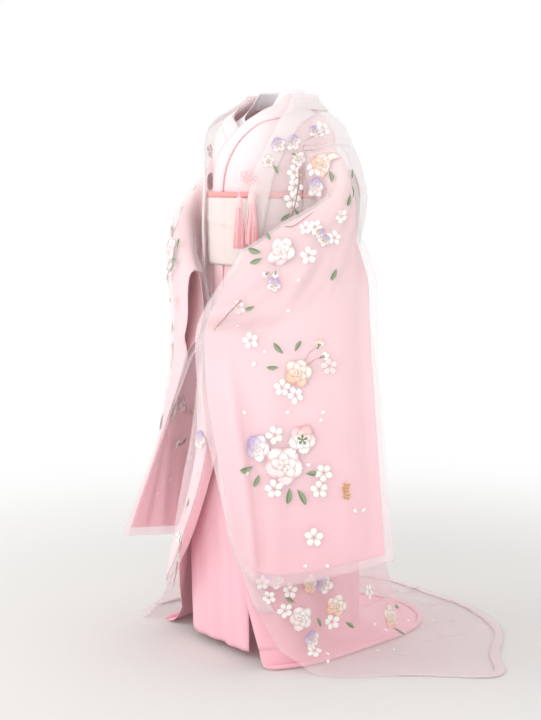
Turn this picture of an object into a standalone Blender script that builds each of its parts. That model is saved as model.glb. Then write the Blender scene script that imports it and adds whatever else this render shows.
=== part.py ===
"""Worn wedding over-robe (uchikake) of organza over its trailing silk under-robe, with obi and tassel.

Metres, +Z up. The wearer faces -Y and the wearer's left is +X. The origin is the middle of the wearer's
shoulders, which hold the robe up, and the floor lies SHOULDER_HEIGHT below it. Heights in the tables are
above the floor. Directions are degrees round the wearer: 0 is the front, 90 the left, 180 the back and
-90 the right.
"""
import math
from collections import namedtuple

import bmesh
import bpy
from mathutils import Vector

# Driving sizes
SHOULDER_HEIGHT = 1.38    # floor to the shoulders that carry the robe
CLOTH = 0.0012            # wall of one layer of silk with its lining
ORGANZA = 0.0010          # wall of one layer of organza
SEAM = 0.0003             # room between two pieces at a seam
LAP = 0.0075              # how far the left front stands over the right front
FLOOR_GAP = 0.0015        # underside of the trains over the floor
NAPE_BOTTOM = 1.397       # lower edge of the collars at the nape
COLLAR_GAP = 0.0020       # room between a collar and the body under it, which curves
WHITE_COLLAR_SHOWS = 0.016
FOOT_HEIGHT = 0.055       # where a fall of cloth turns onto the floor
OBI_BOTTOM, OBI_TOP = 1.012, 1.182
OBI_STANDS_OFF = 0.0168   # inner face of the obi over the under-robe
OBI_WALL = 0.0025
SASH_BOTTOM, SASH_TOP = 1.156, 1.192
SASH_STANDS_OFF = 0.0142
KNOT_HALF_WIDTH = 0.118
HEM_ROLL = 0.0065         # radius of the padded hem of the under-robe
HEM_BAND = 0.030          # doubled band at the hem of the organza

Ring = namedtuple("Ring", "height front front_left left back_left back back_right right front_right")
Edge = namedtuple("Edge", "height left left_collar right right_collar")
Hem = namedtuple("Hem", "angle x y")
Station = namedtuple("Station", "top_x top_y top_h mid_x mid_y mid_h low_x low_y low_h front back turn")
Turned = namedtuple("Turned", "down radius")

Armhole = namedtuple("Armhole", "column half_angle heights")

COMPASS = (0, 45, 90, 135, 180, 225, 270, 315)

# Radius of the under-robe at eight directions, from the neck down to the feet
UNDER_RINGS = (
    Ring(1.450, .060, .062, .064, .082, .094, .082, .064, .062),
    Ring(1.425, .066, .072, .076, .090, .098, .090, .076, .072),
    Ring(1.400, .078, .094, .104, .106, .104, .106, .104, .094),
    Ring(1.380, .092, .122, .145, .128, .110, .128, .145, .122),
    Ring(1.345, .116, .150, .176, .148, .118, .148, .176, .150),
    Ring(1.280, .140, .162, .182, .154, .126, .154, .182, .162),
    Ring(1.180, .144, .158, .170, .152, .130, .152, .170, .158),
    Ring(1.000, .144, .156, .165, .152, .136, .152, .165, .156),
    Ring(0.850, .160, .172, .178, .170, .162, .170, .178, .172),
    Ring(0.600, .190, .196, .186, .192, .195, .200, .205, .200),
    Ring(0.300, .212, .216, .190, .205, .225, .245, .258, .240),
    Ring(0.055, .225, .235, .188, .212, .250, .280, .300, .270),
)

# Radius of the organza over-robe: it lies on the shoulders and goes round the tied obi at the back
OVER_RINGS = (
    Ring(1.450, .078, .082, .086, .103, .113, .103, .086, .082),
    Ring(1.425, .086, .095, .101, .112, .118, .112, .101, .095),
    Ring(1.400, .100, .122, .135, .134, .128, .134, .135, .122),
    Ring(1.380, .116, .149, .182, .160, .136, .160, .182, .149),
    Ring(1.345, .138, .172, .210, .184, .150, .184, .210, .172),
    Ring(1.280, .160, .180, .205, .214, .198, .214, .205, .180),
    Ring(1.190, .172, .184, .206, .238, .218, .238, .206, .184),
    Ring(1.120, .176, .187, .206, .232, .214, .232, .206, .187),
    Ring(1.000, .174, .187, .202, .208, .190, .208, .202, .186),
    Ring(0.850, .184, .192, .197, .202, .196, .204, .200, .188),
    Ring(0.600, .216, .220, .210, .220, .228, .238, .236, .220),
    Ring(0.300, .250, .248, .218, .254, .290, .300, .290, .266),
    Ring(0.140, .252, .252, .230, .290, .345, .350, .345, .292),
    Ring(0.055, .256, .252, .236, .320, .390, .400, .420, .320),
)

# Directions of the front edges and of the collars' outer edges, from the neck to the floor
UNDER_EDGES = (
    Edge(1.440, 76, 96, -76, -96),
    Edge(1.420, 60, 92, -60, -92),
    Edge(1.400, 44, 84, -44, -84),
    Edge(1.380, 26, 60, -26, -60),
    Edge(1.355, 4, 32, -4, -32),
    Edge(1.300, -16, 6, 16, -6),
    Edge(1.200, -27, -8, 27, 8),
    Edge(1.000, -27, -8, 27, 8),
    Edge(0.850, -20, -2, 22, 4),
    Edge(0.700, -3, 14, 16, -2),
    Edge(0.585, 8, 24, 6, -10),
    Edge(0.300, 24, 40, -24, -38),
    Edge(0.055, 40, 56, -66, -78),
)
OVER_EDGES = (
    Edge(1.440, 80, 100, -80, -100),
    Edge(1.410, 66, 94, -66, -94),
    Edge(1.385, 57, 84, -57, -84),
    Edge(1.362, 52, 70, -52, -70),
    Edge(1.300, 42, 58, -42, -58),
    Edge(1.230, 31, 49, -33, -51),
    Edge(1.100, 24, 41, -31, -47),
    Edge(1.000, 14, 31, -29, -45),
    Edge(0.850, -5, 11, -23, -39),
    Edge(0.700, 0, 14, -14, -28),
    Edge(0.570, 9, 22, -1, -14),
    Edge(0.450, 16, 28, -5, -17),
    Edge(0.300, 27, 38, -20, -31),
    Edge(0.150, 40, 50, -43, -53),
    Edge(0.055, 52, 61, -68, -75),
)

# Where the cloth that reaches the floor in each direction ends
UNDER_HEM = (
    Hem(-70, -.325, -.100),
    Hem(-90, -.345, .020),
    Hem(-120, -.330, .190),
    Hem(-150, -.240, .390),
    Hem(-180, -.080, .480),
    Hem(-210, .060, .460),
    Hem(-240, .165, .350),
    Hem(-270, .205, .120),
    Hem(-296, .212, -.060),
    Hem(-322, .170, -.185),
)
OVER_HEM = (
    Hem(-66, -.385, -.165),
    Hem(-80, -.482, -.075),
    Hem(-100, -.480, .090),
    Hem(-122, -.450, .320),
    Hem(-145, -.390, .560),
    Hem(-165, -.250, .655),
    Hem(-185, -.060, .650),
    Hem(-205, .110, .635),
    Hem(-222, .235, .590),
    Hem(-238, .348, .520),
    Hem(-256, .470, .370),
    Hem(-274, .586, .232),
    Hem(-288, .440, .070),
    Hem(-300, .348, -.064),
    Hem(-310, .290, -.105),
)

# The left sleeve: the arm is bent, so the hanging panel turns from the armhole to face the front left
LEFT_SLEEVE = (
    Station(.196, .000, 1.345, .300, .014, 1.08, .418, .000, .318, .030, .040, 180),
    Station(.258, -.010, 1.275, .308, -.032, 1.04, .377, -.055, .302, .026, .030, 135),
    Station(.288, -.049, 1.200, .302, -.084, 0.98, .336, -.110, .288, .036, .020, 85),
    Station(.250, -.102, 1.150, .260, -.130, 0.92, .296, -.163, .276, .046, .018, 56),
    Station(.204, -.140, 1.118, .186, -.174, 0.88, .256, -.215, .272, .044, .018, 53),
    Station(.170, -.176, 1.082, .108, -.224, .855, .214, -.258, .290, .040, .018, 53),
    Station(.135, -.206, 1.052, .042, -.262, .845, .176, -.284, .370, .036, .018, 53),
)

# The right sleeve: the forearm lies across the waist and the panel hangs out to the right
RIGHT_SLEEVE = (
    Station(-.196, .000, 1.345, -.290, .024, 1.08, -.372, .120, .235, .030, .040, -180),
    Station(-.256, -.002, 1.275, -.300, -.006, 1.04, -.384, .072, .238, .026, .030, -135),
    Station(-.288, -.036, 1.200, -.298, -.048, 0.98, -.394, .022, .242, .034, .020, -88),
    Station(-.250, -.096, 1.140, -.262, -.104, 0.92, -.402, -.030, .246, .040, .018, -52),
    Station(-.190, -.138, 1.090, -.204, -.152, 0.88, -.410, -.080, .250, .036, .018, -36),
    Station(-.130, -.178, 1.040, -.134, -.194, .855, -.416, -.128, .254, .026, .018, -28),
    Station(-.068, -.208, 1.000, -.068, -.216, .845, -.422, -.172, .258, .022, .018, -18),
)
LOW_TURN = {"left": 53, "right": -101}
# Rows of one sleeve layer, from the lower fold to the fold over the arm; the last ones meet the armhole
SLEEVE_SHARES = (0.0, 0.03, 0.22, 0.43, 0.64, 0.72, 0.79, 0.86, 0.93, 1.0)
ARMHOLE_FROM = 5          # first of those rows on the armhole
CUFF_SEWN_TO = 4          # last of those rows that the cuff seam closes
WAIST_SHARE = 0.74        # share at which the sleeve hangs free of the arm
SLIT_EASE, CUFF_EASE = 0.28, 0.34   # how far the outer sleeve passes the inner one, in stations
SLEEVE_EASE = 0.0110      # room between the two sleeves
SLEEVE_DROP = 0.020       # how far the outer sleeve hangs below the inner one at the body
CUFF_DROP = 0.012         # how much further it hangs at the cuff
CUFF_SEAM_STEP, CUFF_SEAM_DEPTH = 0.15, 0.004   # last stretch of the cuff, in stations, and its half depth
SLIT_DROP = 0.04          # share by which the outer sleeve's slit starts lower

Knot = namedtuple("Knot", "back height")
KNOT_FOLDS = (
    Knot(.1560, 1.080), Knot(.1760, 1.072), Knot(.1880, 1.120), Knot(.1920, 1.190), Knot(.1740, 1.236),
    Knot(.1590, 1.248), Knot(.1540, 1.200),
)

# Foot of the inner front width, which stands back between the parted edges
Inner = namedtuple("Inner", "angle radius")
INNER_FOOT = (Inner(-55, .230), Inner(-45, .205), Inner(-20, .172), Inner(5, .160), Inner(28, .175))
INNER_DEPTH = 0.014

TASSEL_ANGLE, TASSEL_HEIGHT = 30, 1.232
TASSEL_PROFILE = (
    Turned(.000, .0030), Turned(.018, .0034), Turned(.024, .0085), Turned(.034, .0098),
    Turned(.042, .0080), Turned(.060, .0120), Turned(.110, .0150), Turned(.150, .0165),
)

COLOURS = {
    "organza": ((0.90, 0.83, 0.84, 1.0), 0.45),
    "pink_silk": ((0.89, 0.63, 0.67, 1.0), 0.42),
    "white_silk": ((0.92, 0.92, 0.94, 1.0), 0.5),
    "obi_silk": ((0.87, 0.78, 0.78, 1.0), 0.4),
    "coral_silk": ((0.82, 0.28, 0.30, 1.0), 0.5),
}


def cubic(xs, ys, x):
    """Value at x of a smooth curve through the points; xs rise, and it runs on straight past the ends."""
    if x <= xs[0] or x >= xs[-1]:
        first = 0 if x <= xs[0] else len(xs) - 2
        slope = (ys[first + 1] - ys[first]) / (xs[first + 1] - xs[first])
        anchor = 0 if x <= xs[0] else -1
        return ys[anchor] + slope * (x - xs[anchor])
    k = max(i for i in range(len(xs) - 1) if xs[i] <= x)

    def slope_at(i):
        low, high = max(i - 1, 0), min(i + 1, len(xs) - 1)
        return (ys[high] - ys[low]) / (xs[high] - xs[low])

    span = xs[k + 1] - xs[k]
    t = (x - xs[k]) / span
    start, end = slope_at(k) * span, slope_at(k + 1) * span
    return (ys[k] * (2 * t**3 - 3 * t**2 + 1) + start * (t**3 - 2 * t**2 + t)
            + ys[k + 1] * (3 * t**2 - 2 * t**3) + end * (t**3 - t**2))


def ease(value):
    """0 below 0, 1 above 1 and smooth between."""
    value = min(max(value, 0.0), 1.0)
    return value * value * (3 - 2 * value)


def at(x, y, height):
    return Vector((x, y, height - SHOULDER_HEIGHT))


def polar(angle, radius, height):
    turn = math.radians(angle)
    return at(radius * math.sin(turn), -radius * math.cos(turn), height)


def leftwards(row, side):
    """A row of either body width in the one order that all the widths share: left front, back, right front."""
    return row if side == "left" else row[::-1]


class Robe:
    """A robe as worn: rings round the body, front edges, and the train on the floor."""

    def __init__(self, rings, edges, hem, rows, train_shares, armhole, columns, lap):
        self.heights = [ring.height for ring in reversed(rings)]
        self.radii = [[ring[1 + k] for ring in reversed(rings)] for k in range(len(COMPASS))]
        self.edges = edges
        self.hem = hem
        self.rows = rows
        self.train_shares = train_shares
        self.armhole = armhole
        self.columns = columns
        self.lap = lap

    def radius(self, angle, height):
        """Radius in one direction, smooth all round and up and down."""
        at_compass = [cubic(self.heights, column, height) for column in self.radii]
        angles = [turn - 360 for turn in COMPASS[-3:]] + list(COMPASS) + [turn + 360 for turn in COMPASS[:3]]
        values = at_compass[-3:] + at_compass + at_compass[:3]
        return cubic(angles, values, angle % 360)

    def surface(self, angle, height):
        return polar(angle, self.radius(angle, height), height)

    def point(self, angle, height, out=0.0):
        """A point moved out square to the cloth."""
        here = self.surface(angle, height)
        if out == 0.0:
            return here
        across = self.surface(angle + 0.5, height) - self.surface(angle - 0.5, height)
        up = self.surface(angle, height + 0.002) - self.surface(angle, height - 0.002)
        return here + across.cross(up).normalized() * out

    def edge(self, height, side):
        """Direction of the left or right front edge at a height."""
        column = [getattr(edge, side) for edge in reversed(self.edges)]
        return cubic([edge.height for edge in reversed(self.edges)], column, height)

    def lapped(self, angle, side):
        """The left front lies over the right one near the middle."""
        return self.lap * ease((62 - angle) / 24) if side == "left" and angle < 90 else 0.0

    def hem_point(self, angle):
        """End of the cloth on the floor for a direction from 0 to -360."""
        angles = [-row.angle for row in self.hem]
        x = cubic(angles, [row.x for row in self.hem], -angle)
        y = cubic(angles, [row.y for row in self.hem], -angle)
        return x, y

    def directions(self, side, height):
        """Directions of the columns of a body width in one row.

        The first two frame the collar, and beside the sleeve two more frame the armhole.
        """
        sign = 1 if side == "left" else -1
        front, collar = self.edge(height, side), self.edge(height, side + "_collar")
        centre_back = sign * (180 - math.degrees(SEAM / 2 / self.radius(180, height)))
        steps = self.columns - 1
        even = [collar + (centre_back - collar) * k / steps for k in range(steps + 1)]
        low, high = self.armhole.heights[0], self.armhole.heights[-1]
        if height > high:
            return [front] + even
        gate = [sign * (90 - self.armhole.half_angle), sign * (90 + self.armhole.half_angle)]
        after = steps - self.armhole.column - 1
        before = self.armhole.column - 1
        framed = [collar + (gate[0] - collar) * k / before for k in range(before)]
        framed += [gate[0], sign * 90, gate[1]]
        framed += [gate[1] + (centre_back - gate[1]) * k / after for k in range(1, after + 1)]
        beside = 1 - ease((low - height) / 0.5)
        return [front] + [spread + (near - spread) * beside for spread, near in zip(even, framed)]

    def around(self, side, first=0):
        """Directions of a body width's columns on the floor, from 0 round the back to -360."""
        angles = self.directions(side, FOOT_HEIGHT)[first:]
        return leftwards([angle - 360 if side == "left" else angle for angle in angles], side)

    def train_rows(self, angle):
        """Shares of the way from the foot to the hem, with one hem band's width before the last."""
        foot = self.surface(angle, FOOT_HEIGHT)
        hem = self.hem_point(angle)
        band = 1 - min(HEM_BAND / math.hypot(hem[0] - foot.x, hem[1] - foot.y), 0.75)
        return [share * band for share in self.train_shares] + [1.0]

    def train(self, angle, share, lift, out=0.0):
        """A point on the floor part, from the foot (0) to the hem (1), moved out square to the cloth."""
        if out:
            here = self.train(angle, share, lift)
            across = self.train(angle + 1, share, lift) - self.train(angle - 1, share, lift)
            away = self.train(angle, share + 0.02, lift) - self.train(angle, share - 0.02, lift)
            return here + away.cross(across).normalized() * out
        foot = self.surface(angle, FOOT_HEIGHT)
        hem_x, hem_y = self.hem_point(angle)
        x = foot.x + (hem_x - foot.x) * share
        y = foot.y + (hem_y - foot.y) * share
        resting = lift(x, y)
        settle = (1 - share)**3
        return at(x, y, resting + (FOOT_HEIGHT - resting) * settle)


def reach(robe, x, y):
    """How far the hem of a robe reaches on the floor in the direction of a point."""
    wanted = math.atan2(y, x)
    outline = [(row.x, row.y) for row in robe.hem]
    turns = sorted((math.atan2(py, px), math.hypot(px, py)) for px, py in outline)
    turns = [(turns[-1][0] - math.tau, turns[-1][1])] + turns + [(turns[0][0] + math.tau, turns[0][1])]
    return cubic([turn for turn, _ in turns], [radius for _, radius in turns], wanted)


under = Robe(
    UNDER_RINGS, UNDER_EDGES, UNDER_HEM,
    rows=(1.440, 1.420, 1.400, 1.376, 1.340, 1.300, 1.277, 1.254, 1.230, 1.130, 1.020, 0.900, 0.740, 0.585,
          0.420, 0.240, 0.130, 0.055),
    train_shares=(0.40, 1.00), armhole=Armhole(5, 16, (1.230, 1.254, 1.277, 1.300)), columns=11, lap=LAP)
over = Robe(
    OVER_RINGS, OVER_EDGES, OVER_HEM,
    rows=(1.440, 1.420, 1.398, 1.376, 1.350, 1.312, 1.250, 1.190, 1.130, 1.040, 0.920, 0.760, 0.600, 0.440,
          0.280, 0.150, 0.055),
    train_shares=(0.14, 0.34, 0.64, 1.00), armhole=Armhole(3, 20, (1.130, 1.190, 1.250, 1.312)),
    columns=13, lap=0.0)


def under_lift(x, y):
    """The silk train rests on its padded hem, just over the floor."""
    return FLOOR_GAP + HEM_ROLL * 0.6


def over_lift(x, y):
    """The organza lies on the silk train and its padded hem, then comes down to the floor."""
    past = math.hypot(x, y) - reach(under, x, y)
    return FLOOR_GAP + (2 * HEM_ROLL + 0.012) * ease((0.085 - past) / 0.06)


def material(name):
    """The Principled material of one finish."""
    made = bpy.data.materials.get(name)
    if made is None:
        colour, roughness = COLOURS[name]
        made = bpy.data.materials.new(name)
        made.use_nodes = True
        shader = made.node_tree.nodes["Principled BSDF"]
        shader.inputs["Base Color"].default_value = colour
        shader.inputs["Roughness"].default_value = roughness
        shader.inputs["Metallic"].default_value = 0.0
    return made


def finish_object(name, mesh, finish):
    made = bpy.data.objects.new(name, mesh)
    mesh.materials.append(material(finish))
    parts.objects.link(made)
    return made


def wall(name, grid, finish, thickness, round_rows=False, keep=None, outward=True, mirrored=()):
    """A cloth wall through a grid of points: an open surface, thickened on its outer side.

    Rows run down the piece and columns across it. round_rows joins the last column to the first, and keep
    says which cells have cloth. All cells are split the same way, so that pieces which lie over each other
    have the same facets, but for the mirrored columns of a tube, whose two layers match so. Points that
    fall together are welded.
    """
    work = bmesh.new()
    rows = [[work.verts.new(point) for point in row] for row in grid]
    columns = len(grid[0])
    for r in range(len(rows) - 1):
        for c in range(columns if round_rows else columns - 1):
            if keep is not None and not keep(r, c):
                continue
            after = (c + 1) % columns
            corners = [rows[r][c], rows[r + 1][c], rows[r + 1][after], rows[r][after]]
            if c in mirrored:
                corners = corners[1:] + corners[:1]
            for three in (corners[:3], [corners[0], corners[2], corners[3]]):
                work.faces.new(three if outward else three[::-1])
    loose = [vert for vert in work.verts if not vert.link_faces]
    bmesh.ops.delete(work, geom=loose, context="VERTS")
    bmesh.ops.remove_doubles(work, verts=work.verts, dist=1e-6)
    bmesh.ops.dissolve_degenerate(work, edges=work.edges, dist=1e-6)
    mesh = bpy.data.meshes.new(name)
    work.to_mesh(mesh)
    work.free()
    mesh.shade_smooth()
    made = finish_object(name, mesh, finish)
    shell = made.modifiers.new("cloth", "SOLIDIFY")
    shell.thickness = thickness
    shell.offset = 1.0
    return made


def robe_panel(name, robe, side, finish, thickness, lift):
    """One body width with its overlap: front edge, round the side, to the seam at the centre back."""
    grid = []
    for height in robe.rows:
        row = [robe.point(angle, height, robe.lapped(angle, side)) for angle in robe.directions(side, height)]
        grid.append(leftwards(row, side))
    around = robe.around(side)
    for step in range(len(robe.train_shares) + 1):
        grid.append([robe.train(angle, robe.train_rows(angle)[step], lift) for angle in around])
    hole = robe.armhole.column if side == "left" else robe.columns - robe.armhole.column - 2
    low, high = robe.armhole.heights[0], robe.armhole.heights[-1]

    def keep(r, c):
        beside = r + 1 < len(robe.rows) and robe.rows[r] <= high and robe.rows[r + 1] >= low
        return not (beside and c in (hole, hole + 1))

    return wall(name, grid, finish, thickness, keep=keep)


def sleeve_point(stations, side, station, share, front, room, drop, end):
    """A point of a sleeve layer at a station, by its share of the way from the lower fold to the top one.

    room is how far an outer sleeve stands off the inner one, drop how far it hangs below it, and end the
    station at which its cuff seam closes.
    """
    index = list(range(len(stations)))

    def value(name):
        return cubic(index, [getattr(row, name) for row in stations], station)

    top = at(value("top_x"), value("top_y"), value("top_h") + room)
    middle = at(value("mid_x"), value("mid_y"), value("mid_h"))
    low = at(value("low_x"), value("low_y"), value("low_h"))
    low += (low - middle).normalized() * drop
    centre = Vector([cubic((0.0, WAIST_SHARE, 1.0), (low[k], middle[k], top[k]), share) for k in range(3)])
    turn = value("turn") + (LOW_TURN[side] - value("turn")) * ease((0.95 - share) / 0.5)
    facing = Vector((math.sin(math.radians(turn)), -math.cos(math.radians(turn)), 0.0))
    slack = 0.008 + 0.010 * share / WAIST_SHARE
    if share >= WAIST_SHARE:
        lean = (share - WAIST_SHARE) / (1 - WAIST_SHARE)
        bulge = math.sin(math.pi / 2 * min(lean / 0.6, 1.0))
        girth = value("front" if front else "back")
        slack = (0.018 + (girth - 0.018) * bulge) * math.sqrt(max(1 - lean**4, 0.0))
    if share <= SLEEVE_SHARES[CUFF_SEWN_TO]:
        slack += (CUFF_SEAM_DEPTH - slack) * ease((station - end + 1.2) / 1.05)
    if share in (0.0, 1.0) or (station == end and share <= SLEEVE_SHARES[CUFF_SEWN_TO]):
        return centre
    return centre + facing * ((slack + room) if front else -(slack + room))


def armhole_point(robe, side, row, front, inset):
    """A point just inside the edge of a body's armhole, for one row of the sleeve.

    The arm bends forward, so the sleeve's outer layer starts at the back of the armhole.
    """
    sign = 1 if side == "left" else -1
    step = row - ARMHOLE_FROM
    heights = robe.armhole.heights
    height = heights[min(step, len(heights) - 1)]
    shrunk = robe.armhole.half_angle - math.degrees(inset / robe.radius(90, height))
    if step == 0:
        height += inset
    if step >= len(heights) - 1:
        height -= inset
    if step == len(heights):
        shrunk = 0.0
    return robe.point(sign * (90 + shrunk if front else 90 - shrunk), height)


def sleeve(name, robe, stations, side, finish, thickness, outer):
    """A sleeve: a tall tube round the arm, sewn shut below the cuff and open at the slit by the body."""
    start = -SLIT_EASE if outer else 0.0
    end = len(stations) - 1 + (CUFF_EASE if outer else 0.0)
    room = SLEEVE_EASE if outer else 0.0
    stops = (start, 0.9, 1.8, 2.7, 3.6, 4.5, 5.4, end - CUFF_SEAM_STEP, end)
    grid = []
    for step, station in enumerate(stops):
        drop = SLEEVE_DROP + CUFF_DROP * station / end if outer else 0.0
        layers = []
        for front in (True, False):
            layer = [sleeve_point(stations, side, station, share, front, room, drop, end)
                     for share in SLEEVE_SHARES]
            if step == 0:
                slit = SLEEVE_SHARES[CUFF_SEWN_TO] - (SLIT_DROP if outer else 0.0)
                layer[CUFF_SEWN_TO] = sleeve_point(stations, side, station, slit, front, room, drop, end)
                for row in range(ARMHOLE_FROM, len(SLEEVE_SHARES)):
                    layer[row] = armhole_point(robe, side, row, front, 2 * thickness + SEAM)
            layers.append(layer)
        grid.append(layers[0] + layers[1][-2:0:-1])
    top = len(SLEEVE_SHARES) - 1
    mirrored = [*range(CUFF_SEWN_TO), *range(top, 2 * top - CUFF_SEWN_TO)]
    return wall(name, grid, finish, thickness, round_rows=True, outward=side != "left", mirrored=mirrored)


def edge_band(name, robe, side_offsets, low, width, shift, finish, thickness, top_steps, side_steps):
    """A collar: one band up the left front edge, round the nape and down the right one.

    shift moves its inner edge into the neck opening, and side_offsets is how far each half stands off.
    """
    highest = robe.edges[0].height
    stops = []
    for step in range(side_steps + 1):
        height = low + (highest - low) * (step / side_steps)
        stops.append(("left", height, robe.edge(height, "left")))
    start, end = robe.edge(highest, "left"), 360 + robe.edge(highest, "right")
    for step in range(1, top_steps):
        stops.append(("nape", highest, start + (end - start) * step / top_steps))
    for step in range(side_steps, -1, -1):
        height = low + (highest - low) * (step / side_steps)
        stops.append(("right", height, 360 + robe.edge(height, "right")))
    grid = []
    for k, (part, height, angle) in enumerate(stops):
        before, after = stops[max(k - 1, 0)], stops[min(k + 1, len(stops) - 1)]
        here = robe.surface(angle, height)
        along = (robe.surface(after[2], after[1]) - robe.surface(before[2], before[1])).normalized()
        across_step = robe.surface(angle + 1, height) - here
        up_step = robe.surface(angle, height + 0.004) - robe.surface(angle, height - 0.004)
        normal = across_step.cross(up_step).normalized()
        away = along.cross(normal)
        progress = k / (len(stops) - 1)
        out = side_offsets[0] + (side_offsets[1] - side_offsets[0]) * ease((progress - 0.4) / 0.2)
        row = []
        for share in (0.0, 0.5, 1.0):
            distance = width * share - shift
            degrees = distance * away.dot(across_step) / across_step.length_squared
            rise = distance * away.dot(up_step) / up_step.length_squared * 0.008
            row.append(robe.point(angle + degrees, height + rise, out))
        grid.append(row)
    return wall(name, grid, finish, thickness, outward=False)


def band_round(name, robe, bottom, top, stands_off, steps, finish, thickness):
    """A belt round the waist, closed at the back."""
    grid = [[robe.point(360 * k / steps, height, stands_off) for k in range(steps)]
            for height in (top, bottom)]
    return wall(name, grid, finish, thickness, round_rows=True)


def obi_knot():
    """The tied obi: one wide loop of the belt, open at both ends."""
    grid = []
    for k in range(5):
        share = k / 2 - 1
        row = [at(KNOT_HALF_WIDTH * share, 0.152 + (fold.back - 0.152) * (1 - 0.10 * share**2), fold.height)
               for fold in KNOT_FOLDS]
        grid.append(row)
    return wall("obi_knot", grid, "obi_silk", OBI_WALL, round_rows=True, outward=False)


def inner_front():
    """The front width of the under-robe that lies behind the parted front edges."""
    angles = [row.angle for row in INNER_FOOT]
    grid = []
    steps = 7
    for height in (0.700, 0.560, 0.400, 0.240, 0.120, 0.030):
        row = []
        for k in range(steps + 1):
            angle = angles[0] + (angles[-1] - angles[0]) * k / steps
            down = ease((0.70 - height) / 0.67)
            waist = under.radius(angle, height) - INNER_DEPTH
            foot = cubic(angles, [item.radius for item in INNER_FOOT], angle)
            row.append(polar(angle, waist + (foot - waist) * down, height))
        grid.append(row)
    return wall("under_inner_front", grid, "pink_silk", CLOTH)


def hem_roll(side):
    """The padded hem that the silk train rests on."""
    places = [under.train(angle, 1.0, under_lift) for angle in under.around(side)]
    line = bpy.data.curves.new("under_hem_" + side, "CURVE")
    line.dimensions = "3D"
    line.bevel_depth = HEM_ROLL
    line.bevel_resolution = 1
    line.use_fill_caps = True
    spline = line.splines.new("POLY")
    spline.points.add(len(places) - 1)
    for k, place in enumerate(places):
        into = (place - places[max(k - 1, 0)]).normalized()
        away = (places[min(k + 1, len(places) - 1)] - place).normalized()
        along = (into + away).normalized()
        mitre = max(along.dot(away), along.dot(into), 0.5)
        beyond = Vector((along.y, -along.x, 0.0))
        centre = place + beyond * ((HEM_ROLL + CLOTH) / mitre)
        spline.points[k].co = (centre.x, centre.y, FLOOR_GAP + HEM_ROLL - SHOULDER_HEIGHT, 1.0)
    line.materials.append(material("pink_silk"))
    parts.objects.link(bpy.data.objects.new("under_hem_" + side, line))


def hem_band(side):
    """The doubled band along the hem of the organza, made from the last row of its cells."""
    grid = [[over.train(angle, over.train_rows(angle)[step], over_lift, ORGANZA + 2 * SEAM)
             for angle in over.around(side, first=2)] for step in (-2, -1)]
    return wall("over_hem_" + side, grid, "organza", ORGANZA)


def collar(name, robe, low, finish, thickness):
    """A collar, made from the cells of both body widths along the front edges and round the nape."""
    rows = [height for height in robe.rows if height >= low]
    grid = []
    for height in rows:
        row = []
        for side in ("left", "right"):
            angles = robe.directions(side, height)
            angles[-1] = 180
            points = [robe.point(angle, height, robe.lapped(angle, side) + thickness + COLLAR_GAP) for angle in angles]
            row += points if side == "left" else points[-2::-1]
        grid.append(row)
    last_cell = len(grid[0]) - 2

    def keep(r, c):
        return rows[r + 1] >= NAPE_BOTTOM or c in (0, last_cell)

    return wall(name, grid, finish, thickness, keep=keep)


def turned(name, profile, place, finish):
    """A turned piece hanging from a place, closed at both ends."""
    work = bmesh.new()
    points = [(0.0, 0.0)] + [(row.radius, -row.down) for row in profile] + [(0.0, -profile[-1].down)]
    verts = [work.verts.new((radius, 0.0, height)) for radius, height in points]
    for first, second in zip(verts, verts[1:]):
        work.edges.new((first, second))
    mesh = bpy.data.meshes.new(name)
    work.to_mesh(mesh)
    work.free()
    made = finish_object(name, mesh, finish)
    made.location = place
    screw = made.modifiers.new("turn", "SCREW")
    screw.steps = screw.render_steps = 8
    screw.use_merge_vertices = True
    screw.merge_threshold = 0.0001
    return made


def tassel_knot():
    """Solid of the flower knot that ties the cord; it stands on the front edge of the organza."""
    work = bmesh.new()
    bmesh.ops.create_uvsphere(work, u_segments=10, v_segments=6, radius=1.0)
    mesh = bpy.data.meshes.new("tassel_knot")
    work.to_mesh(mesh)
    work.free()
    made = finish_object("tassel_knot", mesh, "coral_silk")
    made.location = over.point(TASSEL_ANGLE, TASSEL_HEIGHT, 0.018)
    made.rotation_euler = (0.0, 0.0, math.radians(TASSEL_ANGLE))
    made.scale = (0.022, 0.011, 0.021)
    return made


bpy.ops.object.select_all(action="DESELECT")
for item in list(bpy.data.objects):
    bpy.data.objects.remove(item, do_unlink=True)
parts = bpy.data.collections.new("wedding_over_robe")
bpy.context.scene.collection.children.link(parts)

for side, stations in (("left", LEFT_SLEEVE), ("right", RIGHT_SLEEVE)):
    robe_panel("under_body_" + side, under, side, "pink_silk", CLOTH, under_lift)
    robe_panel("over_body_" + side, over, side, "organza", ORGANZA, over_lift)
    sleeve("under_sleeve_" + side, under, stations, side, "pink_silk", CLOTH, outer=False)
    sleeve("over_sleeve_" + side, over, stations, side, "organza", ORGANZA, outer=True)
    hem_roll(side)
    hem_band(side)

inner_front()
collar("under_collar", under, 0.90, "pink_silk", CLOTH)
collar("over_collar", over, 0.15, "organza", ORGANZA)
edge_band("white_collar", under, (-0.0105, -0.0180), 1.27, 0.045, WHITE_COLLAR_SHOWS, "white_silk", CLOTH, 4, 5)
band_round("obi", under, OBI_BOTTOM, OBI_TOP, OBI_STANDS_OFF, 24, "obi_silk", OBI_WALL)
band_round("obi_sash", under, SASH_BOTTOM, SASH_TOP, SASH_STANDS_OFF, 24, "coral_silk", CLOTH)
obi_knot()
tassel_knot()
for name, angle, height in (("tassel_one", TASSEL_ANGLE - 5, 1.205), ("tassel_two", TASSEL_ANGLE + 5, 1.216)):
    turned(name, TASSEL_PROFILE, over.point(angle, height, 0.027), "coral_silk")
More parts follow.
